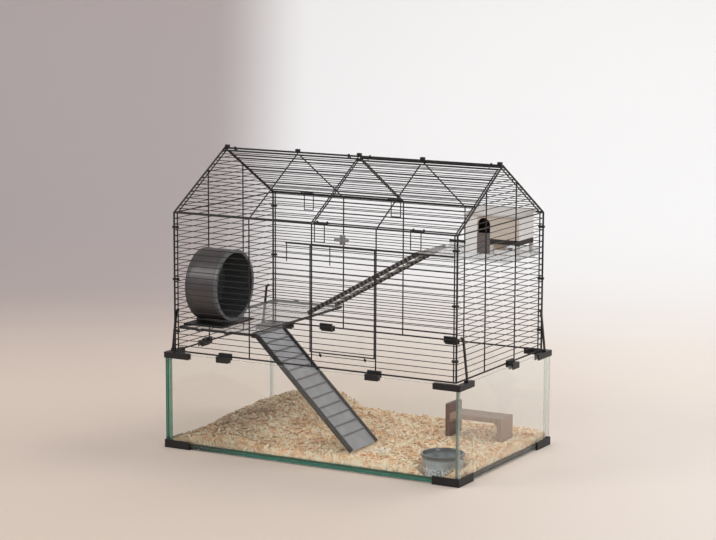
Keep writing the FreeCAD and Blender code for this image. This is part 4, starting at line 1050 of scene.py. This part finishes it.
def stage_finish():
    """Beige floor and pale wall, darker at the left and clear from behind."""
    f = Finish("pale_floor")
    cloud = f.mottle(1.3, 3.0)
    x, y, z = f.axes()
    across = x * math.cos(CAMERA_YAW) + y * math.sin(CAMERA_YAW)
    away = y * math.cos(CAMERA_YAW) - x * math.sin(CAMERA_YAW)
    floor = f.tint(cloud, (0.63, 0.52, 0.44), (0.69, 0.58, 0.50))
    floor = f.tint(across.between(-0.1, 0.7), floor, (0.76, 0.68, 0.61))
    wall = f.tint(across.between(-0.42, -0.12), (0.44, 0.385, 0.38), (0.87, 0.865, 0.86))
    base = f.tint(away.between(0.5, 2.2).most(z.between(0.0, 0.5)), floor, wall)
    behind = f.node("ShaderNodeNewGeometry", output="Backfacing")
    return f.over_clear(1.0 - behind, f.shaded(base, 0.6 + 0.1 * cloud), WHITE)


def floor_sweep():
    """A floor that bends up into a wall, turned to face the camera."""
    bm = bmesh.new()
    ends = [bm.verts.new((side * SWEEP_HALF, SWEEP_NEAR, 0.0)) for side in (-1, 1)]
    floor = bmesh.ops.extrude_edge_only(bm, edges=[bm.edges.new(ends)])["geom"]
    far = of_kind(floor, bmesh.types.BMVert)
    bmesh.ops.translate(bm, vec=(0, SWEEP_BEND - SWEEP_NEAR, 0), verts=far)
    bend = bmesh.ops.spin(bm, geom=[*far, of_kind(floor, bmesh.types.BMEdge)[0]], axis=(1, 0, 0),
                          cent=(0, SWEEP_BEND, SWEEP_RADIUS), angle=math.pi / 2, steps=24, use_merge=False)
    wall = bmesh.ops.extrude_edge_only(bm, edges=of_kind(bend["geom_last"], bmesh.types.BMEdge))["geom"]
    bmesh.ops.translate(bm, vec=(0, 0, SWEEP_WALL), verts=of_kind(wall, bmesh.types.BMVert))
    bmesh.ops.rotate(bm, cent=(0, 0, 0), matrix=Matrix.Rotation(CAMERA_YAW, 3, "Z"), verts=bm.verts)
    bmesh.ops.recalc_face_normals(bm, faces=bm.faces)
    if min(bm.faces, key=lambda face: face.calc_center_median().z).normal.z < 0:
        bmesh.ops.reverse_faces(bm, faces=bm.faces)
    mesh = mesh_of("floor_sweep", bm)
    mesh.shade_smooth()
    mesh.materials.append(stage_finish())
    return added("floor_sweep", mesh)


def photo_camera():
    """The camera of the photograph."""
    yaw, pitch, roll = CAMERA_YAW, CAMERA_PITCH, CAMERA_ROLL
    forward = Vector((-math.sin(yaw) * math.cos(pitch), math.cos(yaw) * math.cos(pitch), -math.sin(pitch)))
    level = Vector((math.cos(yaw), math.sin(yaw), 0.0))
    upright = level.cross(forward)
    right = math.cos(roll) * level + math.sin(roll) * upright
    above = math.cos(roll) * upright - math.sin(roll) * level
    camera = bpy.data.cameras.new("photo_camera")
    camera.sensor_width, camera.sensor_fit, camera.lens = CAMERA_SENSOR, "HORIZONTAL", CAMERA_LENS
    camera.clip_end = 50.0
    made = added("photo_camera", camera)
    turn = Matrix((right, above, -forward)).transposed().to_4x4()
    made.matrix_world = Matrix.Translation(CAMERA_PLACE) @ turn
    return made


class CAGE_OT_stage(bpy.types.Operator):
    """Pale floor and backdrop, soft lamps and the camera"""

    bl_idname = "cage.stage"
    bl_label = "Stage"

    def execute(self, context):
        scene = context.scene
        scene.view_settings.view_transform = "Standard"
        floor = floor_sweep()
        scene.world = bpy.data.worlds.new("studio")
        scene.world.use_nodes = True
        background = scene.world.node_tree.nodes["Background"].inputs
        background["Color"].default_value = (0.93, 0.95, 1.0, 1.0)
        background["Strength"].default_value = 0.55
        lamp("window_lamp", (1.2, 1.4, 2.6), 46.0, 2.2, (1.0, 0.98, 0.95))
        lamp("key_lamp", (-2.2, -2.6, 2.6), 62.0, 1.8, (1.0, 0.985, 0.96))
        lamp("fill_lamp", (3.0, -2.2, 1.4), 26.0, 2.0, (0.96, 0.98, 1.0))
        scene.camera = photo_camera()
        return {"FINISHED"}


STEPS = (CAGE_OT_stage, CAGE_OT_glass_base, CAGE_OT_corner_guards, CAGE_OT_wire_house, CAGE_OT_fittings,
         CAGE_OT_shelves, CAGE_OT_ramps, CAGE_OT_wheel, CAGE_OT_hut, CAGE_OT_hide, CAGE_OT_bowl,
         CAGE_OT_shavings)


class CAGE_PT_panel(bpy.types.Panel):
    """Sizes, colours and steps of the cage"""

    bl_idname = "CAGE_PT_panel"
    bl_label = "Glass Base Hamster Cage"
    bl_space_type = "VIEW_3D"
    bl_region_type = "UI"
    bl_category = "Cage"

    def draw(self, context):
        for group in (context.scene.cage_sizes, context.scene.cage_colours):
            box = self.layout.box()
            for name in group.__annotations__:
                box.prop(group, name)
        for step in STEPS:
            self.layout.operator(step.bl_idname)


CLASSES = (CageSizes, CageColours, *STEPS, CAGE_PT_panel)


def register():
    for entry in CLASSES:
        bpy.utils.register_class(entry)
    bpy.types.Scene.cage_sizes = bpy.props.PointerProperty(type=CageSizes)
    bpy.types.Scene.cage_colours = bpy.props.PointerProperty(type=CageColours)


def unregister():
    del bpy.types.Scene.cage_colours
    del bpy.types.Scene.cage_sizes
    for entry in reversed(CLASSES):
        bpy.utils.unregister_class(entry)


def main():
    register()
    for step in STEPS:
        group, name = step.bl_idname.split(".")
        getattr(getattr(bpy.ops, group), name)()


if __name__ == "__main__":
    main()
